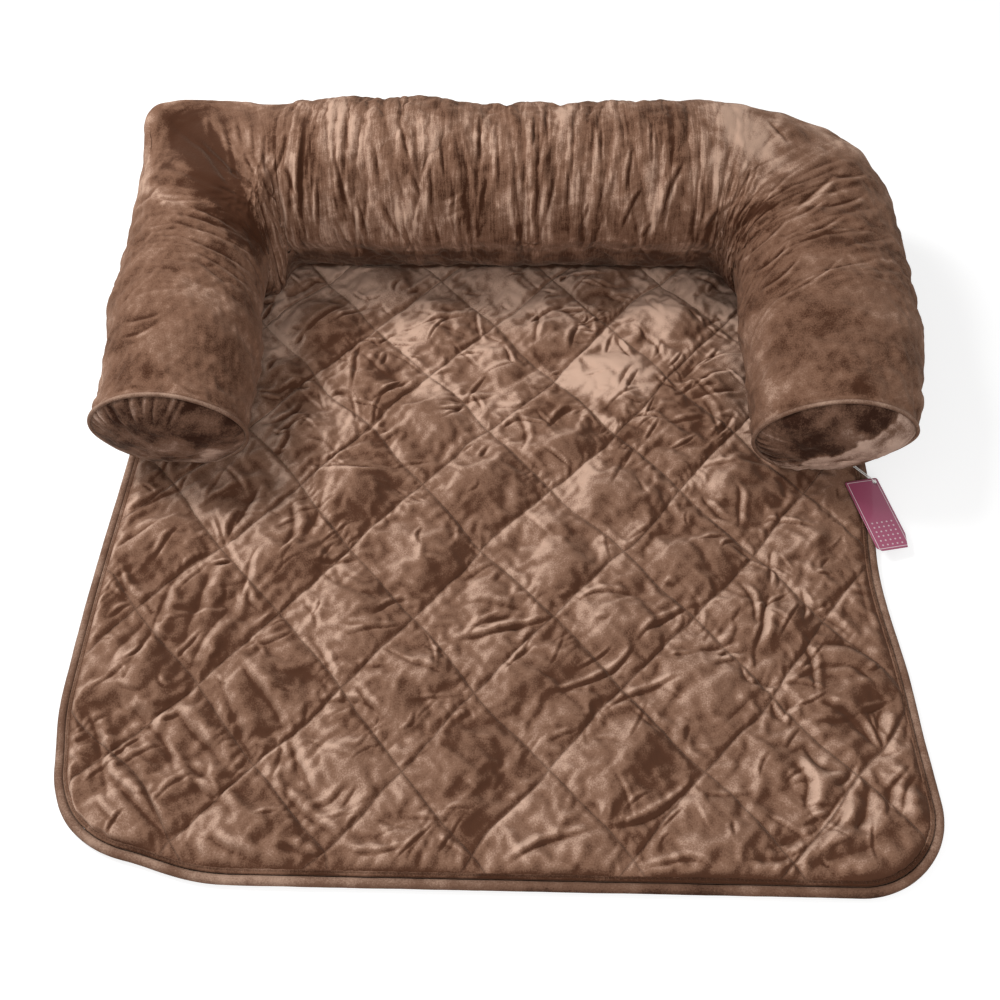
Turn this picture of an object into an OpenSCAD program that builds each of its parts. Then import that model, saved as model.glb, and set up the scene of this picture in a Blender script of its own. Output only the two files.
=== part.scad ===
// Couch protector pet bed, millimetres, +Z up, front towards -Y.
// A quilted mat lies flat and carries a stuffed bolster on three sides: left arm, back, right arm.
// The front apron folds down over the edge of a couch. The origin is the middle of the footprint.

/* [Mat] */
// Length of the front apron, from its front edge to the fold
apron_len = 505; // [420:1:600]
// Radius of the apron's two front corners
corner_r = 90; // [60:1:120]
// Radius of the mat's two rear corners, under the bolster
rear_corner_r = 40; // [20:1:60]
// Thickness of the backing cloth
backing_t = 1.5; // [1:0.1:3]
// Thickness of the wadding
wadding_t = 5.5; // [3:0.5:9]
// Thickness of the plush top where it lies flat
plush_t = 5; // [3:0.5:8]
// Diameter of the piping round the mat
piping_d = 10; // [6:0.5:12]

/* [Quilting] */
// Diamond's diagonal across the mat
quilt_across = 152; // [110:1:190]
// Diamond's diagonal along the mat
quilt_along = 176; // [130:1:210]
// Height of a diamond's crown over its seams
quilt_crown = 14; // [4:0.5:18]
// Width of the plain border inside the piping
border_w = 22; // [12:1:40]

/* [Bolster] */
// Width of each arm
arm_w = 182; // [140:1:200]
// Height of an arm's section at its front end
arm_h = 155; // [120:1:180]
// Height of an arm's section where it meets the back
arm_rear_h = 172; // [130:1:200]
// Front-to-back width of the back bolster
back_w = 211; // [150:1:240]
// Height of the back bolster's section
back_h = 213; // [150:1:230]
// Width of the seat between the arms
seat_w = 598; // [560:1:620]
// How far each arm reaches out past the mat's edge
arm_overhang = 31; // [20:1:45]
// Depth of the seat from the arms' front ends to the back bolster
seat_d = 281; // [220:1:340]
// Radius of the bolster's two inner corners
inner_corner_r = 25; // [15:1:40]
// Thickness of the bolster's plush cover
cover_t = 4; // [2:0.5:6]
// Depth of the gathers in the cover
gather_depth = 2.5; // [0:0.5:3]

/* [End caps] */
// Diameter of the piping round each arm's end cap
cap_piping_d = 8; // [5:0.5:10]
// How far an end cap swells forward
cap_swell = 8; // [3:0.5:14]

/* [Zip] */
// Length of the zip in the back bolster
zip_len = 400; // [200:10:460]
// Width of one zip tape
tape_w = 13; // [9:0.5:15]
// Thickness of the zip tape
tape_t = 0.8; // [0.5:0.1:1.2]
// Distance from one tooth to the next on one side
tooth_pitch = 4; // [3:0.5:6]
// Width of the closed chain of teeth
chain_w = 6.4; // [5:0.1:8]
// Height of the teeth over the tape
tooth_h = 2; // [1.2:0.1:3]
// Length of the slider
slider_len = 14; // [10:0.5:18]
// Length of the slider's pull
pull_len = 26; // [18:1:36]

/* [Swing tag] */
// Width of the card
tag_w = 42; // [30:1:50]
// Length of the card
tag_len = 99; // [70:1:110]
// Thickness of the card
tag_t = 0.8; // [0.4:0.1:1.5]
// Diameter of the hole in the card
tag_hole_d = 5; // [4:0.5:7]
// Diameter of the nylon loop
loop_d = 1.1; // [0.8:0.1:1.6]

/* [Hidden] */

// Fineness of round parts, of the bolster's sections and of the quilting
round_fn = 48;
section_n = 18;
rim_n = 30;
cord_n = 8;
quilt_steps = 6;

// Clearances: across the fold, round the stuffing, of a piece that lies free, of a running pin
fold_gap = 0.3;
fill_gap = 0.3;
lie_gap = 0.3;
pin_gap = 0.1;
// One overrun serves all cuts
cut_over = 1;

// How far the arms' ends stand behind the fold, and the cloth stands inside the mat's rear edge
arm_setback = 2;
rear_margin = 31;

// Share of a section's half height that lies above the mat: the rest is pressed flat
rest_share = 0.93;
// Shares that set how square the bolster's rear corners are, in plan and in section
left_plan_share = 5;
right_plan_share = 2.6;
left_box_share = 3.2;
right_box_share = 0.5;

// Width of the mat over its piping
mat_w = seat_w + 2 * (arm_w - arm_overhang);

// Overall depth, and the main lines across the bed
bed_d = apron_len + arm_setback + seat_d + back_w;
front_y = -bed_d / 2;
fold_y = front_y + apron_len;
arm_front_y = fold_y + arm_setback;
back_inner_y = arm_front_y + seat_d;
back_outer_y = back_inner_y + back_w;
mat_rear_y = back_outer_y - rear_margin;
piping_r = piping_d / 2;

// Levels of the mat's layers
wadding_z = backing_t;
plush_z = wadding_z + wadding_t;
flat_z = plush_z + plush_t;

// The layers end where the piping begins
panel_half = mat_w / 2 - piping_d;
panel_front_y = front_y + piping_d;
panel_rear_y = mat_rear_y - piping_d;
panel_corner_r = corner_r - piping_d;
panel_rear_r = rear_corner_r - piping_d;
seat_front_y = fold_y + fold_gap / 2;
flap_rear_y = fold_y - fold_gap / 2;

// Place of one crossing of the quilting seams
quilt_x = 69;
quilt_y = panel_front_y + border_w + quilt_along * 0.486;
step_x = quilt_across / quilt_steps;
step_y = quilt_along / quilt_steps;
// Widths over which the quilting fades out at the border and under the bolster
fade_w = 24;
tuck_w = 22;
// Beyond this half width the columns of the quilting are drawn in round the corners
knee_x = seat_w / 2;

// Bolster: middle of each inner corner, and half heights of the sections
turn_x = seat_w / 2 - inner_corner_r;
turn_y = back_inner_y - inner_corner_r;
arm_reach = inner_corner_r + arm_w;
back_reach = inner_corner_r + back_w;
arm_half_h = arm_h / (1 + rest_share);
arm_rear_half_h = arm_rear_h / (1 + rest_share);
back_half_h = back_h / (1 + rest_share);
cap_r = cap_piping_d / 2;
rim_y = arm_front_y + cap_swell;
cover_front_y = rim_y + cap_r;
// How far the cap's piping stands proud of the cover
cap_proud = 1.5;
arm_stations = 10;
corner_stations = 6;
back_stations = 26;
fill_stations = 5;
// The gathers run from the outer side over the top to the seat side
gather_arc = 220;

function clamp01(v) = max(0, min(1, v));
function smooth(v) = let (c = clamp01(v)) c * c * (3 - 2 * c);
function mix(a, b, t) = a + (b - a) * t;
function signed_pow(v, p) = sign(v) * pow(abs(v), p);
function flatten(rows) = [for (row = rows) for (p = row) p];

// A closed skin through rings of equally many points, with a flat face on each end
module skin(rings) {
    m = len(rings[0]);
    last = (len(rings) - 1) * m;
    sides = [for (i = [0 : len(rings) - 2], k = [0 : m - 1])
        let (a = i * m + k, b = i * m + (k + 1) % m, c = a + m, d = b + m)
        each [[a, c, d], [a, d, b]]];
    ends = [[for (k = [0 : m - 1]) k], [for (k = [m - 1 : -1 : 0]) last + k]];
    polyhedron(points = flatten(rings), faces = concat(sides, ends));
}

// A tube with a wall: an outer skin, an inner skin and a flat band on each end
module wall_skin(outer, inner) {
    m = len(outer[0]);
    start = len(outer) * m;
    out_end = (len(outer) - 1) * m;
    in_end = start + (len(inner) - 1) * m;
    out_sides = [for (i = [0 : len(outer) - 2], k = [0 : m - 1])
        let (a = i * m + k, b = i * m + (k + 1) % m, c = a + m, d = b + m)
        each [[a, c, d], [a, d, b]]];
    in_sides = [for (i = [0 : len(inner) - 2], k = [0 : m - 1])
        let (a = start + i * m + k, b = start + i * m + (k + 1) % m, c = a + m, d = b + m)
        each [[a, d, c], [a, b, d]]];
    bands = [for (k = [0 : m - 1])
        let (n = (k + 1) % m)
        each [[k, n, start + n], [k, start + n, start + k],
              [out_end + n, out_end + k, in_end + k], [out_end + n, in_end + k, in_end + n]]];
    polyhedron(points = concat(flatten(outer), flatten(inner)),
               faces = concat(out_sides, in_sides, bands));
}

// Half width of a mat layer at a row, with the corner's round end taken off
function row_half(y, front_r, rear_r) =
    let (front = panel_front_y + front_r - y, rear = y - panel_rear_y + rear_r)
    front_r > 0 && front > 0
        ? panel_half - front_r + sqrt(max(0, front_r * front_r - front * front))
        : rear_r > 0 && rear > 0
            ? panel_half - rear_r + sqrt(max(0, rear_r * rear_r - rear * rear))
            : panel_half;

// Diamond quilting: zero along both families of seams and one on each crown
function quilt_wave(x, y) =
    let (p = (x - quilt_x) / quilt_across, q = (y - quilt_y) / quilt_along)
    sqrt(abs(sin(180 * (p + q)) * sin(180 * (p - q))));
function flap_height(x, y, half) =
    flat_z + quilt_crown * quilt_wave(x, y)
        * smooth((half - border_w - abs(x)) / fade_w)
        * smooth((y - panel_front_y - border_w) / fade_w);
function past_seat(x, y) =
    let (dx = abs(x) - turn_x, dy = y - turn_y)
    (dx > 0 && dy > 0 ? norm([dx, dy]) : max(dx, dy)) - inner_corner_r;
function seat_height(x, y) =
    flat_z + quilt_crown * quilt_wave(x, y) * smooth((tuck_w - past_seat(x, y)) / tuck_w);

// Seam lines' nearest distance, to split each cell of the grid along a seam
function seam_off(v) = abs(v - round(v));
function splits_down(x, y) =
    let (p = (x - quilt_x) / quilt_across, q = (y - quilt_y) / quilt_along)
    seam_off(p + q) < seam_off(p - q);
function drawn_in(x, half) =
    abs(x) <= knee_x ? x : sign(x) * mix(knee_x, half, (abs(x) - knee_x) / (panel_half - knee_x));

// Grid lines of the quilting that lie clear of two end lines
function grid_lines(origin, step, low, high) =
    [for (k = [ceil((low - origin) / step) : floor((high - origin) / step)])
        let (v = origin + k * step) if (v > low + step / 4 && v < high - step / 4) v];

// A mat layer with a shaped top on a grid of rows and columns, over a flat underside
module quilted_layer(grid, bottom) {
    rows = len(grid);
    cols = len(grid[0]);
    rim = concat([for (i = [0 : cols - 1]) i],
                 [for (j = [1 : rows - 1]) j * cols + cols - 1],
                 [for (i = [cols - 2 : -1 : 0]) (rows - 1) * cols + i],
                 [for (j = [rows - 2 : -1 : 1]) j * cols]);
    top_points = flatten(grid);
    base = len(top_points);
    n = len(rim);
    mid_y = (grid[0][0].y + grid[rows - 1][0].y) / 2;
    points = concat(top_points, [for (r = rim) [top_points[r].x, top_points[r].y, bottom]],
                    [[0, mid_y, bottom]]);
    top = [for (j = [0 : rows - 2], i = [0 : cols - 2])
        let (a = j * cols + i, b = a + 1, c = a + cols, d = c + 1,
             x = (points[a].x + points[d].x) / 2, y = (points[a].y + points[d].y) / 2)
        each (splits_down(x, y) ? [[a, c, b], [b, c, d]] : [[a, d, b], [a, c, d]])];
    walls = [for (k = [0 : n - 1])
        let (m = (k + 1) % n)
        each [[rim[k], rim[m], base + m], [rim[k], base + m, base + k]]];
    under = [for (k = [0 : n - 1]) [base + k, base + (k + 1) % n, base + n]];
    polyhedron(points = points, faces = concat(top, walls, under));
}

// Plan of a mat layer from one line to another, with round corners at one end
module layer_plan(low_y, high_y, front_r, rear_r) {
    length = high_y - low_y;
    translate([-panel_half, low_y + front_r])
        square([2 * panel_half, length - front_r - rear_r]);
    if (front_r > 0) {
        translate([-panel_half + front_r, low_y]) square([2 * (panel_half - front_r), front_r]);
        for (s = [-1, 1])
            translate([s * (panel_half - front_r), low_y + front_r])
                circle(r = front_r, $fn = 2 * round_fn);
    }
    if (rear_r > 0) {
        translate([-panel_half + rear_r, high_y - rear_r])
            square([2 * (panel_half - rear_r), rear_r]);
        for (s = [-1, 1])
            translate([s * (panel_half - rear_r), high_y - rear_r])
                circle(r = rear_r, $fn = 2 * round_fn);
    }
}

// Piping along both sides and round the two corners of one end of the mat
module piping_run(from_y, to_y, radius) {
    path_r = radius - piping_r;
    side_x = mat_w / 2 - piping_r;
    way = sign(to_y - from_y);
    turn = to_y - way * radius;
    for (s = [-1, 1]) {
        translate([s * side_x, min(from_y, turn), piping_r])
            rotate([-90, 0, 0])
                cylinder(r = piping_r, h = abs(turn - from_y), $fn = round_fn);
        translate([s * (side_x - path_r), turn, piping_r])
            rotate([0, 0, s > 0 ? (way > 0 ? 0 : -90) : (way > 0 ? 90 : 180)])
                rotate_extrude(angle = 90, $fn = 2 * round_fn)
                    translate([path_r, 0]) circle(r = piping_r, $fn = round_fn);
    }
    translate([-side_x + path_r, to_y - way * piping_r, piping_r])
        rotate([0, 90, 0])
            cylinder(r = piping_r, h = 2 * (side_x - path_r), $fn = round_fn);
}

// A station of the bolster: [origin, heading, inner reach, outer reach, half height, squareness, fold]
function arm_station(y, side, fold) =
    [[side * turn_x, y], side < 0 ? 180 : 0, inner_corner_r, arm_reach,
     mix(arm_half_h, arm_rear_half_h, (y - cover_front_y) / (turn_y - cover_front_y)), 2, fold];
function corner_station(turned, side, fold) =
    let (n = side < 0 ? left_plan_share : right_plan_share,
         box = side < 0 ? left_box_share : right_box_share,
         across = pow(cos(turned) / arm_reach, n), along = pow(sin(turned) / back_reach, n))
    [[side * turn_x, turn_y], side < 0 ? 180 - turned : turned,
     inner_corner_r, pow(across + along, -1 / n),
     mix(arm_rear_half_h, back_half_h, smooth(turned / 90)),
     2 + box * pow(sin(2 * turned), 2), fold];
function back_station(x, fold) =
    [[x, turn_y], 90, inner_corner_r, back_reach, back_half_h, 2, fold];

// One point of a station's section, at an angle from its outer side, set in by an inset
function section_point(st, inset, angle) =
    let (across = (st[3] - st[2]) / 2 - inset,
         tall = st[4] - inset,
         over = angle > 0 && angle < gather_arc ? sin(angle * 180 / gather_arc) : 0,
         shrink = st[6] * over,
         reach = (st[3] + st[2]) / 2 + (across - shrink) * signed_pow(cos(angle), 2 / st[5]),
         rise = rest_share * st[4] + (tall - shrink) * signed_pow(sin(angle), 2 / st[5]))
    [st[0].x + cos(st[1]) * reach, st[0].y + sin(st[1]) * reach, flat_z + max(inset, rise)];
function section_ring(st, inset) =
    [for (k = [0 : section_n - 1]) section_point(st, inset, k * 360 / section_n)];
function rings_of(stations, inset) = [for (st = stations) section_ring(st, inset)];

// Stations run from the left arm's front round to the right arm's front
function fold_at(k, count) = k > 0 && k < count && k % 2 == 1 ? gather_depth : 0;
function left_arm_run(count, turns, folds) = concat(
    [for (k = [0 : count]) arm_station(mix(cover_front_y, turn_y, k / count), -1,
                                       folds * fold_at(k, count) / 2)],
    [for (k = [1 : turns]) corner_station(45 * k / turns, -1, folds * fold_at(k, turns))]);
function right_arm_run(count, turns, folds) = concat(
    [for (k = [turns : -1 : 1]) corner_station(45 * k / turns, 1, folds * fold_at(k, turns))],
    [for (k = [count : -1 : 0]) arm_station(mix(cover_front_y, turn_y, k / count), 1,
                                            folds * fold_at(k, count) / 2)]);
function back_run(count, turns, folds) = concat(
    [for (k = [0 : turns - 1]) corner_station(45 + 45 * k / turns, -1, folds * fold_at(k, turns))],
    [for (k = [0 : count]) back_station(mix(-turn_x, turn_x, k / count), folds * fold_at(k, count))],
    [for (k = [turns - 1 : -1 : 0]) corner_station(45 + 45 * k / turns, 1, folds * fold_at(k, turns))]);

// Outline of an arm's end, on which its cap and piping sit
function rim_point(side, inset, angle) =
    let (p = section_point(arm_station(cover_front_y, side, 0), inset, angle)) [p.x, rim_y, p.z];

module end_cap(side) {
    inset = 2 * cap_r - cap_proud + lie_gap;
    middle = [side * (seat_w + arm_w) / 2, rim_y, flat_z + rest_share * arm_half_h];
    low = flat_z + 2 * cap_r + lie_gap;
    outline = [for (k = [0 : rim_n - 1])
        let (p = rim_point(side, inset, k * 360 / rim_n)) [p.x, p.y, max(p.z, low)]];
    size_shares = [0.15, 0.4, 0.65, 0.85, 1];
    shells = [for (s = size_shares)
        [for (p = outline) middle + (p - middle) * s - [0, cap_swell * (1 - s * s), 0]]];
    rings = concat(shells, [[for (p = outline) [p.x, cover_front_y, p.z]]]);
    count = len(rings);
    skin([for (k = [0 : count - 1]) rings[side < 0 ? k : count - 1 - k]]);
}

module cap_piping(side) {
    path = [for (k = [0 : rim_n - 1])
        let (p = rim_point(side, cap_r - cap_proud, k * 360 / rim_n))
        [p.x, p.y, max(p.z, flat_z + cap_r)]];
    rings = [for (k = [0 : rim_n - 1])
        let (along = path[(k + 1) % rim_n] - path[(k + rim_n - 1) % rim_n],
             out = side * [along.z, 0, -along.x] / norm(along),
             aside = side * [0, 1, 0])
        [for (j = [0 : cord_n - 1])
            path[k] + cap_r * (cos(j * 360 / cord_n) * out + sin(j * 360 / cord_n) * aside)]];
    faces = [for (i = [0 : rim_n - 1], j = [0 : cord_n - 1])
        let (n = (j + 1) % cord_n, next = ((i + 1) % rim_n) * cord_n,
             a = i * cord_n + j, b = i * cord_n + n, c = next + j, d = next + n)
        each [[a, c, d], [a, d, b]]];
    polyhedron(points = flatten(rings), faces = faces);
}

// The zip lies on the flat strip of the back bolster below its outermost line, and this frame
// has X along the zip, Y out of the cloth and Z up across the zip
zip_low = section_point(back_station(0, 0), 0, -40);
zip_high = section_point(back_station(0, 0), 0, -20);
zip_lean = atan2(zip_high.y - zip_low.y, zip_high.z - zip_low.z);
module on_zip() {
    translate((zip_low + zip_high) / 2) rotate([-zip_lean, 0, 0]) children();
}

// One side of the chain: a comb whose teeth reach past the middle between those of the other side
tooth_reach = 1.2;
tooth_gap = 0.15;
tooth_root = 0.9;
tape_gap = 0.4;
stop_len = 3;
tape_margin = 4;
tape_half = (zip_len + tooth_pitch) / 2 + stop_len + tape_margin;
module chain_side() {
    count = floor(zip_len / tooth_pitch);
    start = -count * tooth_pitch / 2;
    tooth = tooth_pitch / 2 - 2 * tooth_gap;
    comb = [for (k = [0 : count - 1])
        let (x = start + k * tooth_pitch + tooth_gap)
        each [[x, tooth_reach + tooth_gap], [x, -tooth_reach],
              [x + tooth, -tooth_reach], [x + tooth, tooth_reach + tooth_gap]]];
    translate([0, tape_t + tooth_h, 0])
        rotate([90, 0, 0])
            linear_extrude(tooth_h)
                polygon(concat([[-start, tooth_reach + tooth_gap], [-start, chain_w / 2],
                                [start, chain_w / 2], [start, tooth_reach + tooth_gap]], comb));
}
module zip_tape() {
    translate([-tape_half, 0, tape_gap / 2]) cube([2 * tape_half, tape_t, tape_w]);
}

// Slider: a plate over the teeth with a flange down each side and two ears that hold the pull's pin
plate_t = 1.4;
flange_t = 1.3;
slide_gap = 0.3;
ear_t = 1.2;
pull_w = 6;
pull_t = 1.2;
pull_eye_r = 2.2;
pin_r = 1;
slot_w = 3;
plate_y = tape_t + tooth_h + slide_gap;
slider_w = chain_w + 2 * slide_gap + 2 * flange_t;
pin_y = plate_y + plate_t + pull_eye_r + slide_gap;
ear_inner = pull_w / 2 + slide_gap;
slider_x = zip_len / 2 - slider_len / 2 - stop_len;
module slider_shape() {
    translate([-slider_len / 2, plate_y, -slider_w / 2]) cube([slider_len, plate_t, slider_w]);
    for (s = [-1, 1])
        translate([-slider_len / 2, tape_t + slide_gap, s * (slider_w - flange_t) / 2 - flange_t / 2])
            cube([slider_len, plate_y - tape_t, flange_t]);
    for (s = [-1, 1])
        translate([0, 0, s * (ear_inner + ear_t / 2) - ear_t / 2]) {
            translate([0, pin_y, 0]) cylinder(r = pull_eye_r, h = ear_t, $fn = round_fn);
            translate([-pull_eye_r, plate_y + plate_t / 2, 0])
                cube([2 * pull_eye_r, pin_y - plate_y - plate_t / 2, ear_t]);
        }
    translate([0, pin_y, -ear_inner - ear_t / 2])
        cylinder(r = pin_r, h = 2 * ear_inner + ear_t, $fn = round_fn);
}
module pull_shape() {
    difference() {
        union() {
            translate([0, pin_y, -pull_w / 2]) cylinder(r = pull_eye_r, h = pull_w, $fn = round_fn);
            translate([-pull_len + pull_w / 2, pin_y - pull_t / 2, -pull_w / 2])
                cube([pull_len - pull_w / 2, pull_t, pull_w]);
            translate([-pull_len + pull_w / 2, pin_y + pull_t / 2, 0])
                rotate([90, 0, 0]) cylinder(d = pull_w, h = pull_t, $fn = round_fn);
        }
        translate([0, pin_y, -pull_w / 2 - cut_over])
            cylinder(r = pin_r + pin_gap, h = pull_w + 2 * cut_over, $fn = round_fn);
        translate([-pull_len + pull_w / 2, pin_y - pull_t, -slot_w / 2])
            cube([pull_len / 2, 2 * pull_t, slot_w]);
    }
}

// Swing tag: a card that leans over the mat's right edge, on a nylon loop through its corner hole.
// Its own frame has X across the card, Y up its length and Z out of its face
tag_turn = 14;
tag_lean = 5;
tag_reach_x = 8;
tag_setback = 68;
tag_corner_r = 3;
hole_inset = 5;
loop_r = loop_d / 2;
loop_bend = tag_t / 2 + loop_r + lie_gap;
tag_hole = [tag_w / 2 - hole_inset, tag_len / 2 - hole_inset];
hole_place = [tag_reach_x + tag_hole.x * cos(tag_turn) - tag_hole.y * sin(tag_turn),
              tag_hole.x * sin(tag_turn) + tag_hole.y * cos(tag_turn), tag_t / 2];
hole_offset = [hole_place.x * cos(tag_lean) + hole_place.z * sin(tag_lean), hole_place.y,
               hole_place.z * cos(tag_lean) - hole_place.x * sin(tag_lean)];
// The loop lies on the mat's plain border, and is caught there under the right arm's end cap
loop_z = flat_z + lie_gap + loop_r + loop_bend;
tag_seat = [panel_half, fold_y - tag_setback, loop_z - hole_offset.z];
hole_middle = tag_seat + hole_offset;
loop_catch = [panel_half - border_w / 2, rim_y - cap_r - lie_gap, loop_z];
loop_way = loop_catch - hole_middle;
loop_len = norm(loop_way) - loop_bend - loop_r;
module on_tag() {
    translate(tag_seat)
        rotate([0, tag_lean, 0])
            translate([tag_reach_x, 0, 0])
                rotate([0, 0, tag_turn]) children();
}
module card_plan() {
    inner = [tag_w / 2 - tag_corner_r, tag_len / 2 - tag_corner_r];
    difference() {
        union() {
            square([tag_w, 2 * inner.y], center = true);
            square([2 * inner.x, tag_len], center = true);
            for (sx = [-1, 1], sy = [-1, 1])
                translate([sx * inner.x, sy * inner.y]) circle(r = tag_corner_r, $fn = round_fn);
        }
        translate(tag_hole) circle(d = tag_hole_d, $fn = round_fn);
    }
}

module seat_quilted_top() {
    half = seat_w / 2 + tuck_w;
    inner_x = grid_lines(quilt_x, step_x, -half, half);
    xs = concat([-panel_half, -half], inner_x, [half, panel_half]);
    high = back_inner_y + tuck_w;
    round_shares = [0, 0.4, 0.7, 0.9, 1];
    ys = concat([seat_front_y], grid_lines(quilt_y, step_y, seat_front_y, high), [high],
                [for (s = round_shares) panel_rear_y - panel_rear_r * (1 - s)]);
    color("#7d5a45")
        quilted_layer([for (y = ys)
            let (end = row_half(y, 0, panel_rear_r))
            [for (x = xs) [drawn_in(x, end), y, seat_height(x, y)]]], plush_z);
}
module flap_quilted_top() {
    inner_x = grid_lines(quilt_x, step_x, -panel_half + border_w, panel_half - border_w);
    xs = concat([-panel_half, -panel_half + border_w], inner_x, [panel_half - border_w, panel_half]);
    round_shares = [0, 0.03, 0.12];
    low = panel_front_y + border_w;
    ys = concat([for (s = round_shares) panel_front_y + panel_corner_r * s], [low],
                grid_lines(quilt_y, step_y, low, flap_rear_y), [flap_rear_y]);
    color("#7d5a45")
        quilted_layer([for (y = ys)
            let (end = row_half(y, panel_corner_r, 0))
            [for (x = xs) let (to = drawn_in(x, end)) [to, y, flap_height(to, y, end)]]], plush_z);
}
module seat_wadding() {
    color("#e6e2da") translate([0, 0, wadding_z])
        linear_extrude(wadding_t) layer_plan(seat_front_y, panel_rear_y, 0, panel_rear_r);
}
module flap_wadding() {
    color("#e6e2da") translate([0, 0, wadding_z])
        linear_extrude(wadding_t) layer_plan(panel_front_y, flap_rear_y, panel_corner_r, 0);
}
module seat_backing() {
    color("#5b4a40")
        linear_extrude(backing_t) layer_plan(seat_front_y, panel_rear_y, 0, panel_rear_r);
}
module flap_backing() {
    color("#5b4a40")
        linear_extrude(backing_t) layer_plan(panel_front_y, flap_rear_y, panel_corner_r, 0);
}
module seat_piping() {
    color("#6d5344") piping_run(seat_front_y, mat_rear_y, rear_corner_r);
}
module flap_piping() {
    color("#6d5344") piping_run(flap_rear_y, front_y, corner_r);
}
module left_arm_cover() {
    color("#7a5743")
        wall_skin(rings_of(left_arm_run(arm_stations, corner_stations, 1), 0),
                  rings_of(left_arm_run(fill_stations, corner_stations, 0), cover_t));
}
module right_arm_cover() {
    color("#7a5743")
        wall_skin(rings_of(right_arm_run(arm_stations, corner_stations, 1), 0),
                  rings_of(right_arm_run(fill_stations, corner_stations, 0), cover_t));
}
module back_cover() {
    color("#7a5743")
        wall_skin(rings_of(back_run(back_stations, corner_stations, 1), 0),
                  rings_of(back_run(fill_stations, corner_stations, 0), cover_t));
}
module left_arm_fill() {
    color("#efece5") skin(rings_of(left_arm_run(fill_stations, corner_stations, 0), cover_t + fill_gap));
}
module right_arm_fill() {
    color("#efece5") skin(rings_of(right_arm_run(fill_stations, corner_stations, 0), cover_t + fill_gap));
}
module back_fill() {
    color("#efece5") skin(rings_of(back_run(fill_stations, corner_stations, 0), cover_t + fill_gap));
}
module left_end_cap() { color("#4a2f21") end_cap(-1); }
module right_end_cap() { color("#4a2f21") end_cap(1); }
module left_cap_piping() { color("#6a4a38") cap_piping(-1); }
module right_cap_piping() { color("#6a4a38") cap_piping(1); }
module zip_tape_upper() { color("#3a2419") on_zip() zip_tape(); }
module zip_tape_lower() { color("#3a2419") on_zip() mirror([0, 0, 1]) zip_tape(); }
module zip_teeth_upper() { color("#5c4434") on_zip() chain_side(); }
module zip_teeth_lower() {
    color("#5c4434") on_zip() translate([tooth_pitch / 2, 0, 0]) mirror([0, 0, 1]) chain_side();
}
module zip_stops() {
    color("#8a8178") on_zip()
        for (s = [-1, 1])
            translate([s * (zip_len + tooth_pitch + stop_len) / 2 - stop_len / 2, tape_t, -chain_w / 2])
                cube([stop_len, tooth_h, chain_w]);
}
module zip_slider() { color("#8a8178") on_zip() translate([slider_x, 0, 0]) slider_shape(); }
module zip_pull() { color("#8a8178") on_zip() translate([slider_x, 0, 0]) pull_shape(); }
module swing_tag() { color("#9a4a66") on_tag() linear_extrude(tag_t) card_plan(); }
module tag_loop() {
    color("#e8e4dc")
        translate(hole_middle)
            rotate([0, 0, atan2(loop_way.y, loop_way.x)]) {
                for (s = [-1, 1])
                    translate([0, 0, s * loop_bend]) rotate([0, 90, 0])
                        cylinder(r = loop_r, h = loop_len, $fn = round_fn);
                for (s = [0, 1])
                    translate([s * loop_len, 0, 0]) rotate([90, 0, 0]) rotate([0, 0, 90 - 180 * s])
                        rotate_extrude(angle = 180, $fn = round_fn)
                            translate([loop_bend, 0]) circle(r = loop_r, $fn = round_fn);
            }
}

seat_quilted_top();
seat_wadding();
seat_backing();
seat_piping();
flap_quilted_top();
flap_wadding();
flap_backing();
flap_piping();
back_cover();
left_arm_cover();
right_arm_cover();
back_fill();
left_arm_fill();
right_arm_fill();
left_end_cap();
right_end_cap();
left_cap_piping();
right_cap_piping();
zip_tape_upper();
zip_tape_lower();
zip_teeth_upper();
zip_teeth_lower();
zip_stops();
zip_slider();
zip_pull();
swing_tag();
tag_loop();
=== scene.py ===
import math
import bmesh
import bpy
import numpy as np
from mathutils import Matrix, Vector


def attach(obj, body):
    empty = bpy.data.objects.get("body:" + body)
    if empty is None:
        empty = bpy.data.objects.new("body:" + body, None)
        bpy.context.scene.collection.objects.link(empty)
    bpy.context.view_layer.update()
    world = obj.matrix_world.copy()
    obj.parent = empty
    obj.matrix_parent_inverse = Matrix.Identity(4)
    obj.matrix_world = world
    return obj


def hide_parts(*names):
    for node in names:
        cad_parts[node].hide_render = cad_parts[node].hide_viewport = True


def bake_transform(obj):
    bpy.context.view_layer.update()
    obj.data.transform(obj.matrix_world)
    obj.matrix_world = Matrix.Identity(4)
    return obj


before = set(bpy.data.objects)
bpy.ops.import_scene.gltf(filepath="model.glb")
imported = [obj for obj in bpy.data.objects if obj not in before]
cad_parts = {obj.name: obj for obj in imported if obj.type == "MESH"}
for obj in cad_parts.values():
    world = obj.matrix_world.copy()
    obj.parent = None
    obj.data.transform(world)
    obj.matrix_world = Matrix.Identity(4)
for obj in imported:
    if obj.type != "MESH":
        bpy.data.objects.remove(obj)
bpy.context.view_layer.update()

# Backing: one plain woven non-slip cloth under the whole mat, cut to the outline inside the
# piping and sewn into it. Small rubbery grip spots are printed on its underside.

panel_half = 0.440
panel_front = -0.4895
panel_rear = 0.4585
front_round = 0.080
rear_round = 0.030
backing_thick = 0.0015
corner_in = 0.015
corner_up = 0.027
waist_in = 0.011
left_in = 0.003
front_out = 0.004
row_spacing = 0.011
round_steps = 9
across_points = 25


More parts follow.
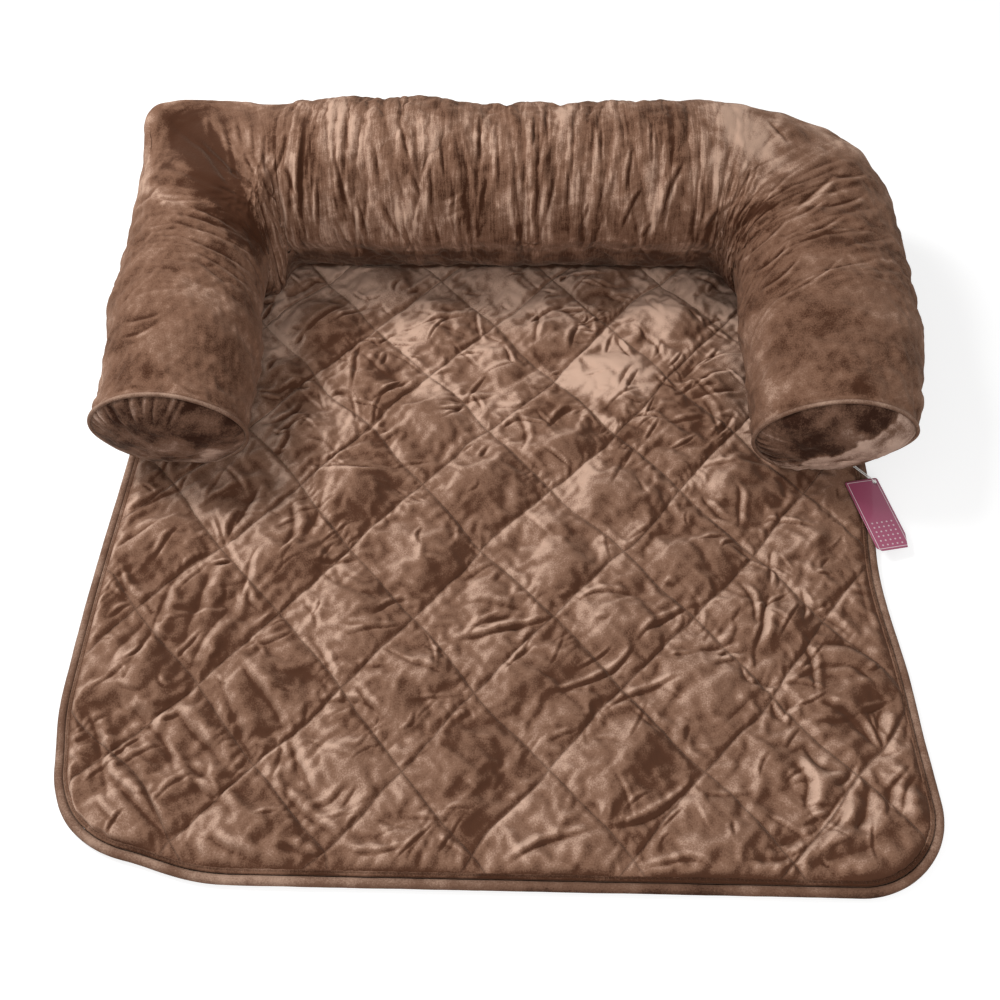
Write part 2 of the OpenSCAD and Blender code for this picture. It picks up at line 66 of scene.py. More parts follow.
def half_width(y, inset):
    """Half the panel's width at y: straight sides, and a quarter circle at each corner."""
    front = np.clip(panel_front + front_round - y, 0, front_round - inset)
    rear = np.clip(y - panel_rear + rear_round, 0, rear_round - inset)
    front_half = panel_half - front_round + np.sqrt((front_round - inset) ** 2 - front ** 2)
    rear_half = panel_half - rear_round + np.sqrt((rear_round - inset) ** 2 - rear ** 2)
    return np.minimum(front_half, rear_half)


def panel_rows(inset, spacing):
    """Rows from the front edge to the rear: closer round the corners by a cosine, else even."""
    turn = 1 - np.cos(np.linspace(0, np.pi / 2, round_steps))
    low = panel_front + inset
    high = panel_rear - inset
    front = low + (front_round - inset) * turn
    rear = (high - (rear_round - inset) * turn)[::-1]
    middle = np.linspace(front[-1], rear[0], int((rear[0] - front[-1]) / spacing))[1:-1]
    return np.concatenate([front, middle, rear])


def loft(rings, joined=False):
    """A skin through rings of equally many points: its ends closed by a face each, or joined."""
    count, around = rings.shape[:2]
    index = np.arange(count * around).reshape(count, around)
    if joined:
        index = np.vstack([index, index[:1]])
    here, there = index[:-1], index[1:]
    quads = np.stack([here, np.roll(here, -1, 1), np.roll(there, -1, 1), there], -1)
    faces = quads.reshape(-1, 4).tolist()
    if not joined:
        faces += [index[0][::-1].tolist(), index[-1].tolist()]
    return rings.reshape(-1, 3), faces


def make_piece(name, points, faces, finish, closed=True):
    """A smooth mesh object at the origin, its faces turned outwards where the form is closed."""
    mesh = bpy.data.meshes.new(name)
    mesh.from_pydata(points.tolist(), [], faces)
    if closed:
        form = bmesh.new()
        form.from_mesh(mesh)
        bmesh.ops.recalc_face_normals(form, faces=form.faces)
        form.to_mesh(mesh)
        form.free()
    mesh.polygons.foreach_set("use_smooth", [True] * len(mesh.polygons))
    mesh.materials.append(finish)
    made = bpy.data.objects.new(name, mesh)
    bpy.context.scene.collection.objects.link(made)
    return made


def ease(value):
    """Smooth step from 0 to 1."""
    held = np.clip(value, 0, 1)
    return held * held * (3 - 2 * held)


def bell(value):
    """A soft hump: e to the power of minus the value's square."""
    return np.exp(-(value ** 2))


def laid(points):
    """Where the cloth lies when it is spread by hand: the front left corner is drawn in, and the
    sides wander by a few millimetres between the arms and the front."""
    x, y = points[..., 0], points[..., 1]
    corner = ease((-x - 0.20) / 0.17) * ease((-y - 0.30) / 0.15)
    waist = bell((y + 0.15) / 0.09) * ease((x - 0.25) / 0.19)
    left = bell((y + 0.18) / 0.13) * ease((-x - 0.25) / 0.19)
    front = bell((y + 0.42) / 0.06) * ease((x - 0.25) / 0.19)
    moved = points.copy()
    moved[..., 0] += corner_in * corner - waist_in * waist - left_in * left + front_out * front
    moved[..., 1] += corner_up * corner * ease((-x - 0.22) / 0.2)
    return moved


def layer_rings(inset, low, high, spacing):
    """A flat layer as rings across the mat, one to a row, each from left to right and back."""
    y = panel_rows(inset, spacing)
    half = half_width(y, inset)
    share = np.linspace(-1, 1, across_points)
    share = np.concatenate([share, share[::-1]])
    rings = np.zeros((len(y), len(share), 3))
    rings[..., 0] = half[:, None] * share
    rings[..., 1] = y[:, None]
    rings[..., 2] = np.repeat([low, high], across_points)
    return laid(rings)


def add(tree, kind, values=None, **settings):
    """A shader node. Values go to its inputs by name or number, and a socket there is linked."""
    made = tree.nodes.new(kind)
    for key, value in settings.items():
        setattr(made, key, value)
    for key, value in (values or {}).items():
        if isinstance(value, bpy.types.NodeSocket):
            tree.links.new(value, made.inputs[key])
        else:
            made.inputs[key].default_value = value
    return made


def new_finish(name):
    """A material with its tree and its surface shader."""
    finish = bpy.data.materials.new(name)
    finish.use_nodes = True
    tree = finish.node_tree
    return finish, tree, tree.nodes["Principled BSDF"]


def blend_colours(tree, share, first, second):
    """The mix of two colours by a share."""
    return add(tree, "ShaderNodeMix", {0: share, 6: first, 7: second}, data_type="RGBA").outputs[2]


def reach(tree, value, low, high, to_low=0.0, to_high=1.0):
    """A value eased from one range to another and held at its ends."""
    kinds = {"Value": value, "From Min": low, "From Max": high, "To Min": to_low, "To Max": to_high}
    made = add(tree, "ShaderNodeMapRange", kinds, interpolation_type="SMOOTHSTEP")
    return made.outputs["Result"]


def sums(tree, way, first, second, third=0.0):
    """One step of arithmetic on two or three values."""
    return add(tree, "ShaderNodeMath", {0: first, 1: second, 2: third}, operation=way).outputs[0]


def raise_surface(tree, shader, height, depth):
    """Fine relief from a height, put into the shader's normal."""
    bump = add(tree, "ShaderNodeBump", {"Height": height, "Distance": depth, "Strength": 1.0})
    tree.links.new(bump.outputs["Normal"], shader.inputs["Normal"])


def noise(tree, place, scale, detail=2.0, rough=0.5, twist=0.0):
    """Cloudy noise over a place."""
    kinds = {"Vector": place, "Scale": scale, "Detail": detail, "Roughness": rough, "Distortion": twist}
    return add(tree, "ShaderNodeTexNoise", kinds).outputs


def object_place(tree):
    """The piece's own coordinates."""
    return add(tree, "ShaderNodeTexCoord").outputs["Object"]


def put(tree, shader, socket, value):
    """Links a value or a colour to a socket of the surface shader."""
    tree.links.new(value, shader.inputs[socket])


def new_group(name, inputs, outputs):
    """A node group with its named sockets and the two nodes that stand for them."""
    made = bpy.data.node_groups.new(name, "ShaderNodeTree")
    for side, sockets in (("INPUT", inputs), ("OUTPUT", outputs)):
        for word, kind in sockets:
            made.interface.new_socket(word, in_out=side, socket_type="NodeSocket" + kind)
    return made, made.nodes.new("NodeGroupInput").outputs, made.nodes.new("NodeGroupOutput").inputs


weave, given, out = new_group("plain_weave", (("Vector", "Vector"), ("Threads", "Float")),
                              (("Height", "Float"), ("Tone", "Float")))
scaled = {0: given["Vector"], "Scale": given["Threads"]}
spread = add(weave, "ShaderNodeVectorMath", scaled, operation="SCALE").outputs[0]
ways = add(weave, "ShaderNodeSeparateXYZ", {0: spread}).outputs
over = sums(weave, "SINE", ways["X"], 0.0)
under = sums(weave, "SINE", ways["Y"], 0.0)
slub = noise(weave, spread, 0.13, 3.0)[0]
crossing = sums(weave, "MULTIPLY", over, under)
weave.links.new(sums(weave, "MULTIPLY_ADD", crossing, 0.5, slub), out["Height"])
weave.links.new(slub, out["Tone"])


def woven(tree, threads, dark, light):
    """Plain weave of so many threads: its colour, its tone and its height."""
    made = add(tree, "ShaderNodeGroup", node_tree=weave)
    made.inputs["Threads"].default_value = threads
    tree.links.new(object_place(tree), made.inputs["Vector"])
    tone = made.outputs["Tone"]
    return blend_colours(tree, reach(tree, tone, 0.3, 0.7), dark, light), tone, made.outputs["Height"]


backing_dark = (0.085, 0.055, 0.04, 1)
backing_light = (0.135, 0.095, 0.07, 1)
grip_colour = (0.05, 0.036, 0.03, 1)
backing_threads = 3400.0
grips_per_metre = 95.0

backing_cloth, tree, shader = new_finish("backing_cloth")
cloth, tone, height = woven(tree, backing_threads, backing_dark, backing_light)
spots = {"Vector": object_place(tree), "Scale": grips_per_metre, "Randomness": 0.0}
spots = add(tree, "ShaderNodeTexVoronoi", spots)
is_spot = reach(tree, spots.outputs["Distance"], 0.24, 0.18)
put(tree, shader, "Base Color", blend_colours(tree, is_spot, cloth, grip_colour))
put(tree, shader, "Roughness", reach(tree, is_spot, 0, 1, 0.92, 0.55))
raise_surface(tree, shader, sums(tree, "MULTIPLY_ADD", is_spot, 1.5, height), 0.0003)

points, faces = loft(layer_rings(0.0, 0.0, backing_thick, row_spacing))
backing = make_piece("mat_backing", points, faces, backing_cloth)
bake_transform(backing)
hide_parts("seat_backing", "flap_backing")

# Wadding: a white polyester batt between the backing and the plush, as wide as the backing and
# caught with it in every seam of the quilting.

wadding_low = 0.0017
wadding_high = 0.0068
wadding_inset = 0.003


def clouded_finish(name, cloud, dark, light, dull, smooth, relief):
    """A material of one cloudy noise (its scale, detail and twist): two colours, a roughness from
    dull to smooth, and a fine relief."""
    finish, tree, shader = new_finish(name)
    scale, detail, twist = cloud
    strands = noise(tree, object_place(tree), scale, detail, twist=twist)[0]
    put(tree, shader, "Base Color", blend_colours(tree, strands, (*dark, 1), (*light, 1)))
    put(tree, shader, "Roughness", reach(tree, strands, 0.3, 0.7, dull, smooth))
    if relief:
        raise_surface(tree, shader, strands, relief)
    return finish


batt_fibre = clouded_finish("batt_fibre", (420.0, 5.0, 2.0), (0.62, 0.60, 0.56), (0.84, 0.83, 0.80),
                            0.98, 0.85, 0.002)

points, faces = loft(layer_rings(wadding_inset, wadding_low, wadding_high, row_spacing))
wadding = make_piece("mat_wadding", points, faces, batt_fibre)
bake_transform(wadding)
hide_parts("seat_wadding", "flap_wadding")

# Quilted top: brown crushed plush sewn through the wadding in diamonds, so that it puffs up
# between the seams and puckers along them. One cloth runs from the rear, under the bolster, to
# the front of the apron.

quilt_across = 0.152
quilt_along = 0.176
quilt_x = 0.069
quilt_y = -0.382
border = 0.0050
seam_level = 0.0112
edge_level = 0.0098
puff_height = 0.0050
seam_wander = 0.0070
held_past = 0.068
fold_limit = 0.0065
settle_limit = 0.006
puff_top = 0.023
cloth_lowest = 0.0082
pressed_level = 0.0136
lattice = 26
turn_x = 0.274
turn_y = 0.2635
inner_round = 0.025


def drift(x, y, size, seed, layers=3):
    """Smooth noise of about -1 to 1: random waves in random directions, each layer half as long."""
    chance = np.random.default_rng(seed)
    total = np.zeros(np.broadcast(x, y).shape)
    for layer in range(layers):
        for wave in range(6):
            way = chance.uniform(0, 2 * np.pi)
            rate = 2 * np.pi / size * 2 ** layer * chance.uniform(0.6, 1.3)
            phase = chance.uniform(0, 2 * np.pi)
            total += 0.5 ** layer * np.sin(rate * (x * np.cos(way) + y * np.sin(way)) + phase)
    return total / 4


def finer(grid):
    """A grid of twice the fineness, by the even and odd rules of a cubic spline, each way."""
    for axis in (0, 1):
        grid = np.moveaxis(grid, axis, 0)
        made = np.empty((2 * len(grid) - 1,) + grid.shape[1:])
        made[1::2] = (grid[:-1] + grid[1:]) / 2
        made[2:-1:2] = (grid[:-2] + 6 * grid[1:-1] + grid[2:]) / 8
        made[0], made[-1] = grid[0], grid[-1]
        grid = np.moveaxis(made, 0, axis)
    return grid


def soften(field, times):
    """A field evened out by its neighbours, a number of times."""
    for _ in range(times):
        wide = np.pad(field, 1, mode="edge")
        field = (wide[:-2, 1:-1] + wide[2:, 1:-1] + wide[1:-1, :-2] + wide[1:-1, 2:] + 4 * field) / 8
    return field


viewer_at = np.array([0.0387, -0.8066, 1.0717])
view_turns = (-2.31, 54.37, 1.16)
focal_pixels = 1102
middle_pixel = 500


def view_axes():
    """The photograph's camera: unit vectors ahead, to the right of its picture and down it."""
    yaw, tilt, roll = np.radians(view_turns)
    ahead = np.array([math.sin(yaw) * math.cos(tilt), math.cos(yaw) * math.cos(tilt), -math.sin(tilt)])
    level = np.array([math.cos(yaw), -math.sin(yaw), 0])
    down = np.cross(ahead, level)
    right = math.cos(roll) * level + math.sin(roll) * down
    return ahead, right, math.cos(roll) * down - math.sin(roll) * level


view_ahead, view_right, view_down = view_axes()


def on_level(pixels, level):
    """Where pixels of the photograph lie on a level plane: the camera's ray through each of them."""
    off = (pixels - middle_pixel) / focal_pixels
    ray = view_ahead + off[..., :1] * view_right + off[..., 1:] * view_down
    return (viewer_at + ray * (level - viewer_at[2]) / ray[..., 2:])[..., :2]


def seen(points):
    """The pixels at which the photograph's camera sees points: their offsets over their depth."""
    off = points - viewer_at
    across = np.stack([off @ view_right, off @ view_down], -1)
    return middle_pixel + focal_pixels * across / (off @ view_ahead)[..., None]


def past_seat(x, y):
    """Distance past the seat's edge under the arms and the back, with two round rear corners."""
    side = np.abs(x) - turn_x
    back = y - turn_y
    both = (side > 0) & (back > 0)
    past = np.where(both, np.hypot(side, back), np.maximum(side, back)) - inner_round
    return np.minimum(past, y + 0.012)


def crease(across, along):
    """A crease in cloth: a tight valley with a soft ridge beside it, fading at both ends."""
    ends = ease(2.6 * along) * ease(2.6 * (1 - along))
    across = across * (1 + 0.5 * (2 * along - 1) ** 2)
    valley = np.exp(-(np.abs(across) ** 1.2) * 1.6)
    ridge = np.exp(-((across - 1.7) ** 2) * 0.8)
    return ends * (0.75 * ridge - valley)


def cloth_settle(obj, pinned, swell, pressure, frames, bending):
    """Cloth simulation with gravity off: pinned points stay, the rest swells and wrinkles."""
    held = obj.vertex_groups.new(name="sewn")
    held.add(np.nonzero(pinned)[0].tolist(), 1.0, "REPLACE")
    cloth = obj.modifiers.new("Cloth", "CLOTH")
    facts = cloth.settings
    facts.quality = 5
    facts.mass = 0.3
    facts.tension_stiffness = 20
    facts.compression_stiffness = 20
    facts.shear_stiffness = 8
    facts.bending_stiffness = bending
    facts.air_damping = 2
    facts.vertex_group_mass = "sewn"
    facts.shrink_min = -swell
    facts.shrink_max = -swell
    facts.use_pressure = True
    facts.uniform_pressure_force = pressure
    facts.effector_weights.gravity = 0
    cloth.collision_settings.use_collision = False
    cloth.collision_settings.use_self_collision = False
    cloth.point_cache.frame_start = 1
    cloth.point_cache.frame_end = frames
    for moment in range(1, frames + 1):
        bpy.context.scene.frame_set(moment)
    settled = obj.evaluated_get(bpy.context.evaluated_depsgraph_get())
    found = np.zeros(3 * len(obj.data.vertices), np.float32)
    settled.data.vertices.foreach_get("co", found)
    bpy.data.objects.remove(obj)
    bpy.context.scene.frame_set(1)
    return found.reshape(-1, 3).astype(float)


def sheet_faces(shape):
    """The four-cornered faces of a sheet of rows and columns."""
    index = np.arange(shape[0] * shape[1]).reshape(shape)
    return np.stack([index[:-1, :-1], index[:-1, 1:], index[1:, 1:], index[1:, :-1]], -1)


def set_map(obj, name, pairs):
    """A map of two coordinates to a vertex, kept with the piece for its material."""
    layer = obj.data.uv_layers.new(name=name)
    corner = np.zeros(len(obj.data.loops), np.int32)
    obj.data.loops.foreach_get("vertex_index", corner)
    layer.data.foreach_set("uv", pairs.reshape(-1, 2)[corner].ravel())


def set_share(obj, name, values):
    """A number to a vertex, kept with the piece for its material."""
    kept = obj.data.attributes.new(name, "FLOAT", "POINT")
    kept.data.foreach_set("value", np.ascontiguousarray(values, np.float32).ravel())


comb_scale = (230.0, 60.0, 230.0)
fibre_weight = 1.15

plush_inputs = (("Vector", "Vector"), ("Brushed", "Vector"), ("NapAndShade", "Float"), ("Patch", "Float"),
                ("Mottle", "Float"), ("Streak", "Float"), ("Dark", "Color"), ("Middle", "Color"),
                ("Light", "Color"))
plush, given, out = new_group("crushed_plush", plush_inputs,
                              (("Colour", "Color"), ("Roughness", "Float"), ("Height", "Float")))
swirl = noise(plush, given["Vector"], 16.0)["Color"]
pushed = add(plush, "ShaderNodeVectorMath", {0: swirl, 1: (0.05, 0.05, 0.05), 2: given["Vector"]},
             operation="MULTIPLY_ADD").outputs[0]
patches = noise(plush, pushed, 17.0, 5.0, 0.62)[0]
mottle = noise(plush, pushed, 75.0, 4.0, 0.7)[0]
combed = add(plush, "ShaderNodeMapping", {"Vector": given["Brushed"], "Scale": comb_scale}).outputs[0]
streaks = noise(plush, combed, 1.0, 3.0, 0.6)[0]
grain = noise(plush, given["Vector"], 620.0, 4.0, 0.75)[0]
tone = sums(plush, "MULTIPLY", reach(plush, patches, 0.32, 0.70, -0.6, 0.6), given["Patch"])
for part, weight in ((mottle, given["Mottle"]), (streaks, given["Streak"]), (grain, fibre_weight)):
    tone = sums(plush, "MULTIPLY_ADD", sums(plush, "SUBTRACT", part, 0.5), weight, tone)
tone = sums(plush, "ADD", tone, given["NapAndShade"])
lower = blend_colours(plush, reach(plush, tone, -0.55, 0.02), given["Dark"], given["Middle"])
colour = blend_colours(plush, reach(plush, tone, -0.05, 0.72), lower, given["Light"])
plush.links.new(colour, out["Colour"])
plush.links.new(reach(plush, tone, -0.4, 0.7, 0.95, 0.72), out["Roughness"])
height = sums(plush, "MULTIPLY_ADD", streaks, 0.5, sums(plush, "MULTIPLY", grain, 0.5))
plush.links.new(sums(plush, "MULTIPLY_ADD", mottle, 0.9, height), out["Height"])


def plush_finish(name, tones, patch, mottled, streaked, nap_and_shade, combed=None):
    """Crushed plush in three tones: brushed patches, mottling, streaks along the comb and short
    fibres. The nap's own tone and the painted light and shade come with the piece, in its attribute."""
    finish, tree, shader = new_finish(name)
    place = object_place(tree)
    nap = add(tree, "ShaderNodeGroup", node_tree=plush)
    for word, value in (("Patch", patch), ("Mottle", mottled), ("Streak", streaked)):
        nap.inputs[word].default_value = value
    for word, tint in zip(("Dark", "Middle", "Light"), tones):
        nap.inputs[word].default_value = (*tint, 1)
    tree.links.new(place, nap.inputs["Vector"])
    brushed = place
    if combed:
        brushed = add(tree, "ShaderNodeUVMap", uv_map=combed).outputs[0]
        comb = add(tree, "ShaderNodeAttribute", attribute_name="combing")
        tree.links.new(sums(tree, "MULTIPLY", comb.outputs["Fac"], streaked), nap.inputs["Streak"])
    tree.links.new(brushed, nap.inputs["Brushed"])
    tone_and_shade = add(tree, "ShaderNodeAttribute", attribute_name="nap_and_shade")
    tree.links.new(sums(tree, "MULTIPLY", tone_and_shade.outputs["Fac"], nap_and_shade), nap.inputs["NapAndShade"])
    put(tree, shader, "Base Color", nap.outputs["Colour"])
    put(tree, shader, "Roughness", nap.outputs["Roughness"])
    shader.inputs["Sheen Weight"].default_value = 0.16
    shader.inputs["Sheen Roughness"].default_value = 0.45
    shader.inputs["Sheen Tint"].default_value = (0.85, 0.60, 0.45, 1)
    shader.inputs["Specular IOR Level"].default_value = 0.08
    return finish, tree, shader, nap


def sew_line(tree, shader, nap, line, dark, depth):
    """Darkens and sinks the plush along a line of stitches."""
    colour = shader.inputs["Base Color"].links[0].from_socket
    share = sums(tree, "MULTIPLY", line, dark)
    put(tree, shader, "Base Color", blend_colours(tree, share, colour, thread_colour))
    height = sums(tree, "MULTIPLY_ADD", line, -depth, nap.outputs["Height"])
    raise_surface(tree, shader, height, pile_relief)


def map_ways(tree, name):
    """The two coordinates of a piece's own map."""
    own_map = add(tree, "ShaderNodeUVMap", uv_map=name).outputs[0]
    return add(tree, "ShaderNodeSeparateXYZ", {0: own_map}).outputs


def outward(grid):
    """Unit normals of a grid: the cross product of its two ways, over its length."""
    normal = np.cross(np.gradient(grid, axis=1), np.gradient(grid, axis=0))
    return normal / np.maximum(np.linalg.norm(normal, axis=-1, keepdims=True), 1e-12)


def facing(grid, lit):
    """How far each point of a grid turns to a direction: its normal's share of it."""
    return outward(grid) @ np.array(lit)


lamp_side = (-0.80, 0.30, 0)
cover_lamp_side = (-0.60, 0.25, 0.2)
plush_tones = ((0.058, 0.022, 0.011), (0.190, 0.098, 0.061), (0.52, 0.34, 0.250))
quilt_tones = ((0.080, 0.033, 0.018), (0.212, 0.113, 0.072), (0.58, 0.385, 0.288))
thread_colour = (0.05, 0.022, 0.013, 1)
pile_relief = 0.0008
stitches_across = 30.0

quilt_plush, tree, shader, nap = plush_finish("quilt_plush", quilt_tones, 0.26, 0.36, 0.12, 1.0)
ways = map_ways(tree, "quilting")
seam_lines = []
for one, other in ((0, 1), (1, 0)):
    off = sums(tree, "PINGPONG", ways[one], 0.5)
    stitch = sums(tree, "PINGPONG", sums(tree, "MULTIPLY", ways[other], stitches_across), 0.5)
    gap = reach(tree, stitch, 0.04, 0.14, 0.3, 1.0)
    line = reach(tree, off, 0.0, 0.012, 1.0, 0.0)
    seam_lines.append(sums(tree, "MULTIPLY", line, gap))
sew_line(tree, shader, nap, sums(tree, "MAXIMUM", *seam_lines), 0.14, 1.2)

first = math.ceil((-panel_half + border + 0.002 - quilt_x) / quilt_across * lattice)
last = math.floor((panel_half - border - 0.002 - quilt_x) / quilt_across * lattice)
column = np.concatenate([[first - 1], np.arange(first, last + 1), [last + 1]]).astype(float)
low = math.ceil((panel_front + border + 0.002 - quilt_y) / quilt_along * lattice)
high = math.ceil((0.372 - quilt_y) / quilt_along * lattice)
row = np.concatenate([[low - 1], np.arange(low, high), high + 4 * np.arange(0, 4)]).astype(float)
column, row = np.meshgrid(column, row)
x = quilt_x + column * quilt_across / lattice
y = quilt_y + row * quilt_along / lattice
x[:, 0], x[:, -1] = -panel_half + border, panel_half - border
y[0], y[-1] = panel_front + border, panel_rear - border


def round_corners(x, y, middle_y, size):
    """Draws a grid's two front or two rear corners in to quarter circles about a level y. Which
    points moved, and how far each one lay inside its arc, come with the places."""
    way = np.sign(middle_y)
    off_x, off_y = np.abs(x) - (panel_half - size), way * (y - middle_y)
    far = np.hypot(off_x, off_y)
    in_corner = (off_x > 0) & (off_y > 0)
    moved = in_corner & (far > size - border)
    pull = (size - border) / np.maximum(far, 1e-9)
    round_x = np.where(moved, np.sign(x) * (panel_half - size + off_x * pull), x)
    round_y = np.where(moved, middle_y + way * off_y * pull, y)
    return round_x, round_y, moved, np.where(in_corner, size - border - far, 1.0)


x, y, outside, corner_off = round_corners(x, y, panel_front + front_round, front_round)
x, y, _, _ = round_corners(x, y, panel_rear - rear_round, rear_round)
ends_off = np.minimum(y - panel_front, panel_rear - y) - border
edge_off = np.minimum(half_width(y, border) - np.abs(x), ends_off)
edge_off = np.maximum(np.minimum(edge_off, corner_off), 0)
loose = ease(edge_off / 0.014)
x = x + seam_wander * drift(x, y, 0.30, 11) * loose
y = y + seam_wander * drift(x, y, 0.28, 12) * loose
on_seam = ((column + row) % lattice == 0) | ((column - row) % lattice == 0)
p, q = column / lattice, row / lattice
wave = np.sqrt(np.abs(np.sin(np.pi * (p + q)) * np.sin(np.pi * (p - q))))
open_cloth = ease((held_past - past_seat(x, y)) / 0.020)
chance = np.random.default_rng(21)
puff = (puff_height * wave + chance.normal(0, 0.0006, x.shape)) * ease(edge_off / 0.010) * open_cloth
z = seam_level + puff
at_edge = edge_off < 1e-6
z[at_edge] = edge_level
grid = np.stack([x, y, z], -1)
faces = sheet_faces(x.shape).reshape(-1, 4).tolist()
trial = make_piece("quilt_trial", grid.reshape(-1, 3), faces, quilt_plush, closed=False)
pinned = on_seam | at_edge | (past_seat(x, y) > held_past)
settled = cloth_settle(trial, pinned.ravel(), 0.065, 2.0, 20, 0.03).reshape(grid.shape)
moved = settled - grid
moved[..., :2] = np.clip(moved[..., :2], -settle_limit, settle_limit)
grid = grid + moved
gone = outside[:-1, :-1] & outside[:-1, 1:] & outside[1:, 1:] & outside[1:, :-1]


def finest(field):
    """A single field refined twice."""
    return finer(finer(field[..., None]))[..., 0]


grid = finer(finer(grid))
p, q, loose, open_cloth = finest(p), finest(q), finest(loose), finest(open_cloth)
x, y, z = grid[..., 0], grid[..., 1], grid[..., 2]
relief = np.zeros(x.shape)


def fold_cloth(relief, places, start, end, bow, width, depth, sway=0.0):
    """Adds one crease to a relief: a valley along a bowed line with a soft ridge to its left. The
    line, its bow and its width are in the units of the places, two to each point of the relief."""
    length = np.hypot(*(end - start))
    way = (end - start) / length
    room = abs(bow) + 4 * width
    low, high = np.minimum(start, end) - room, np.maximum(start, end) + room
    near = ((places > low) & (places < high)).all(-1)
    off = places[near] - start
    along = off @ way / length
    line = bow * 4 * along * (1 - along) + sway * np.sin(along * 9 + bow * 900)
    across = off @ np.array([-way[1], way[0]]) - line
    relief[near] += depth * crease(across / width, along) * (np.abs(along - 0.5) < 0.5)
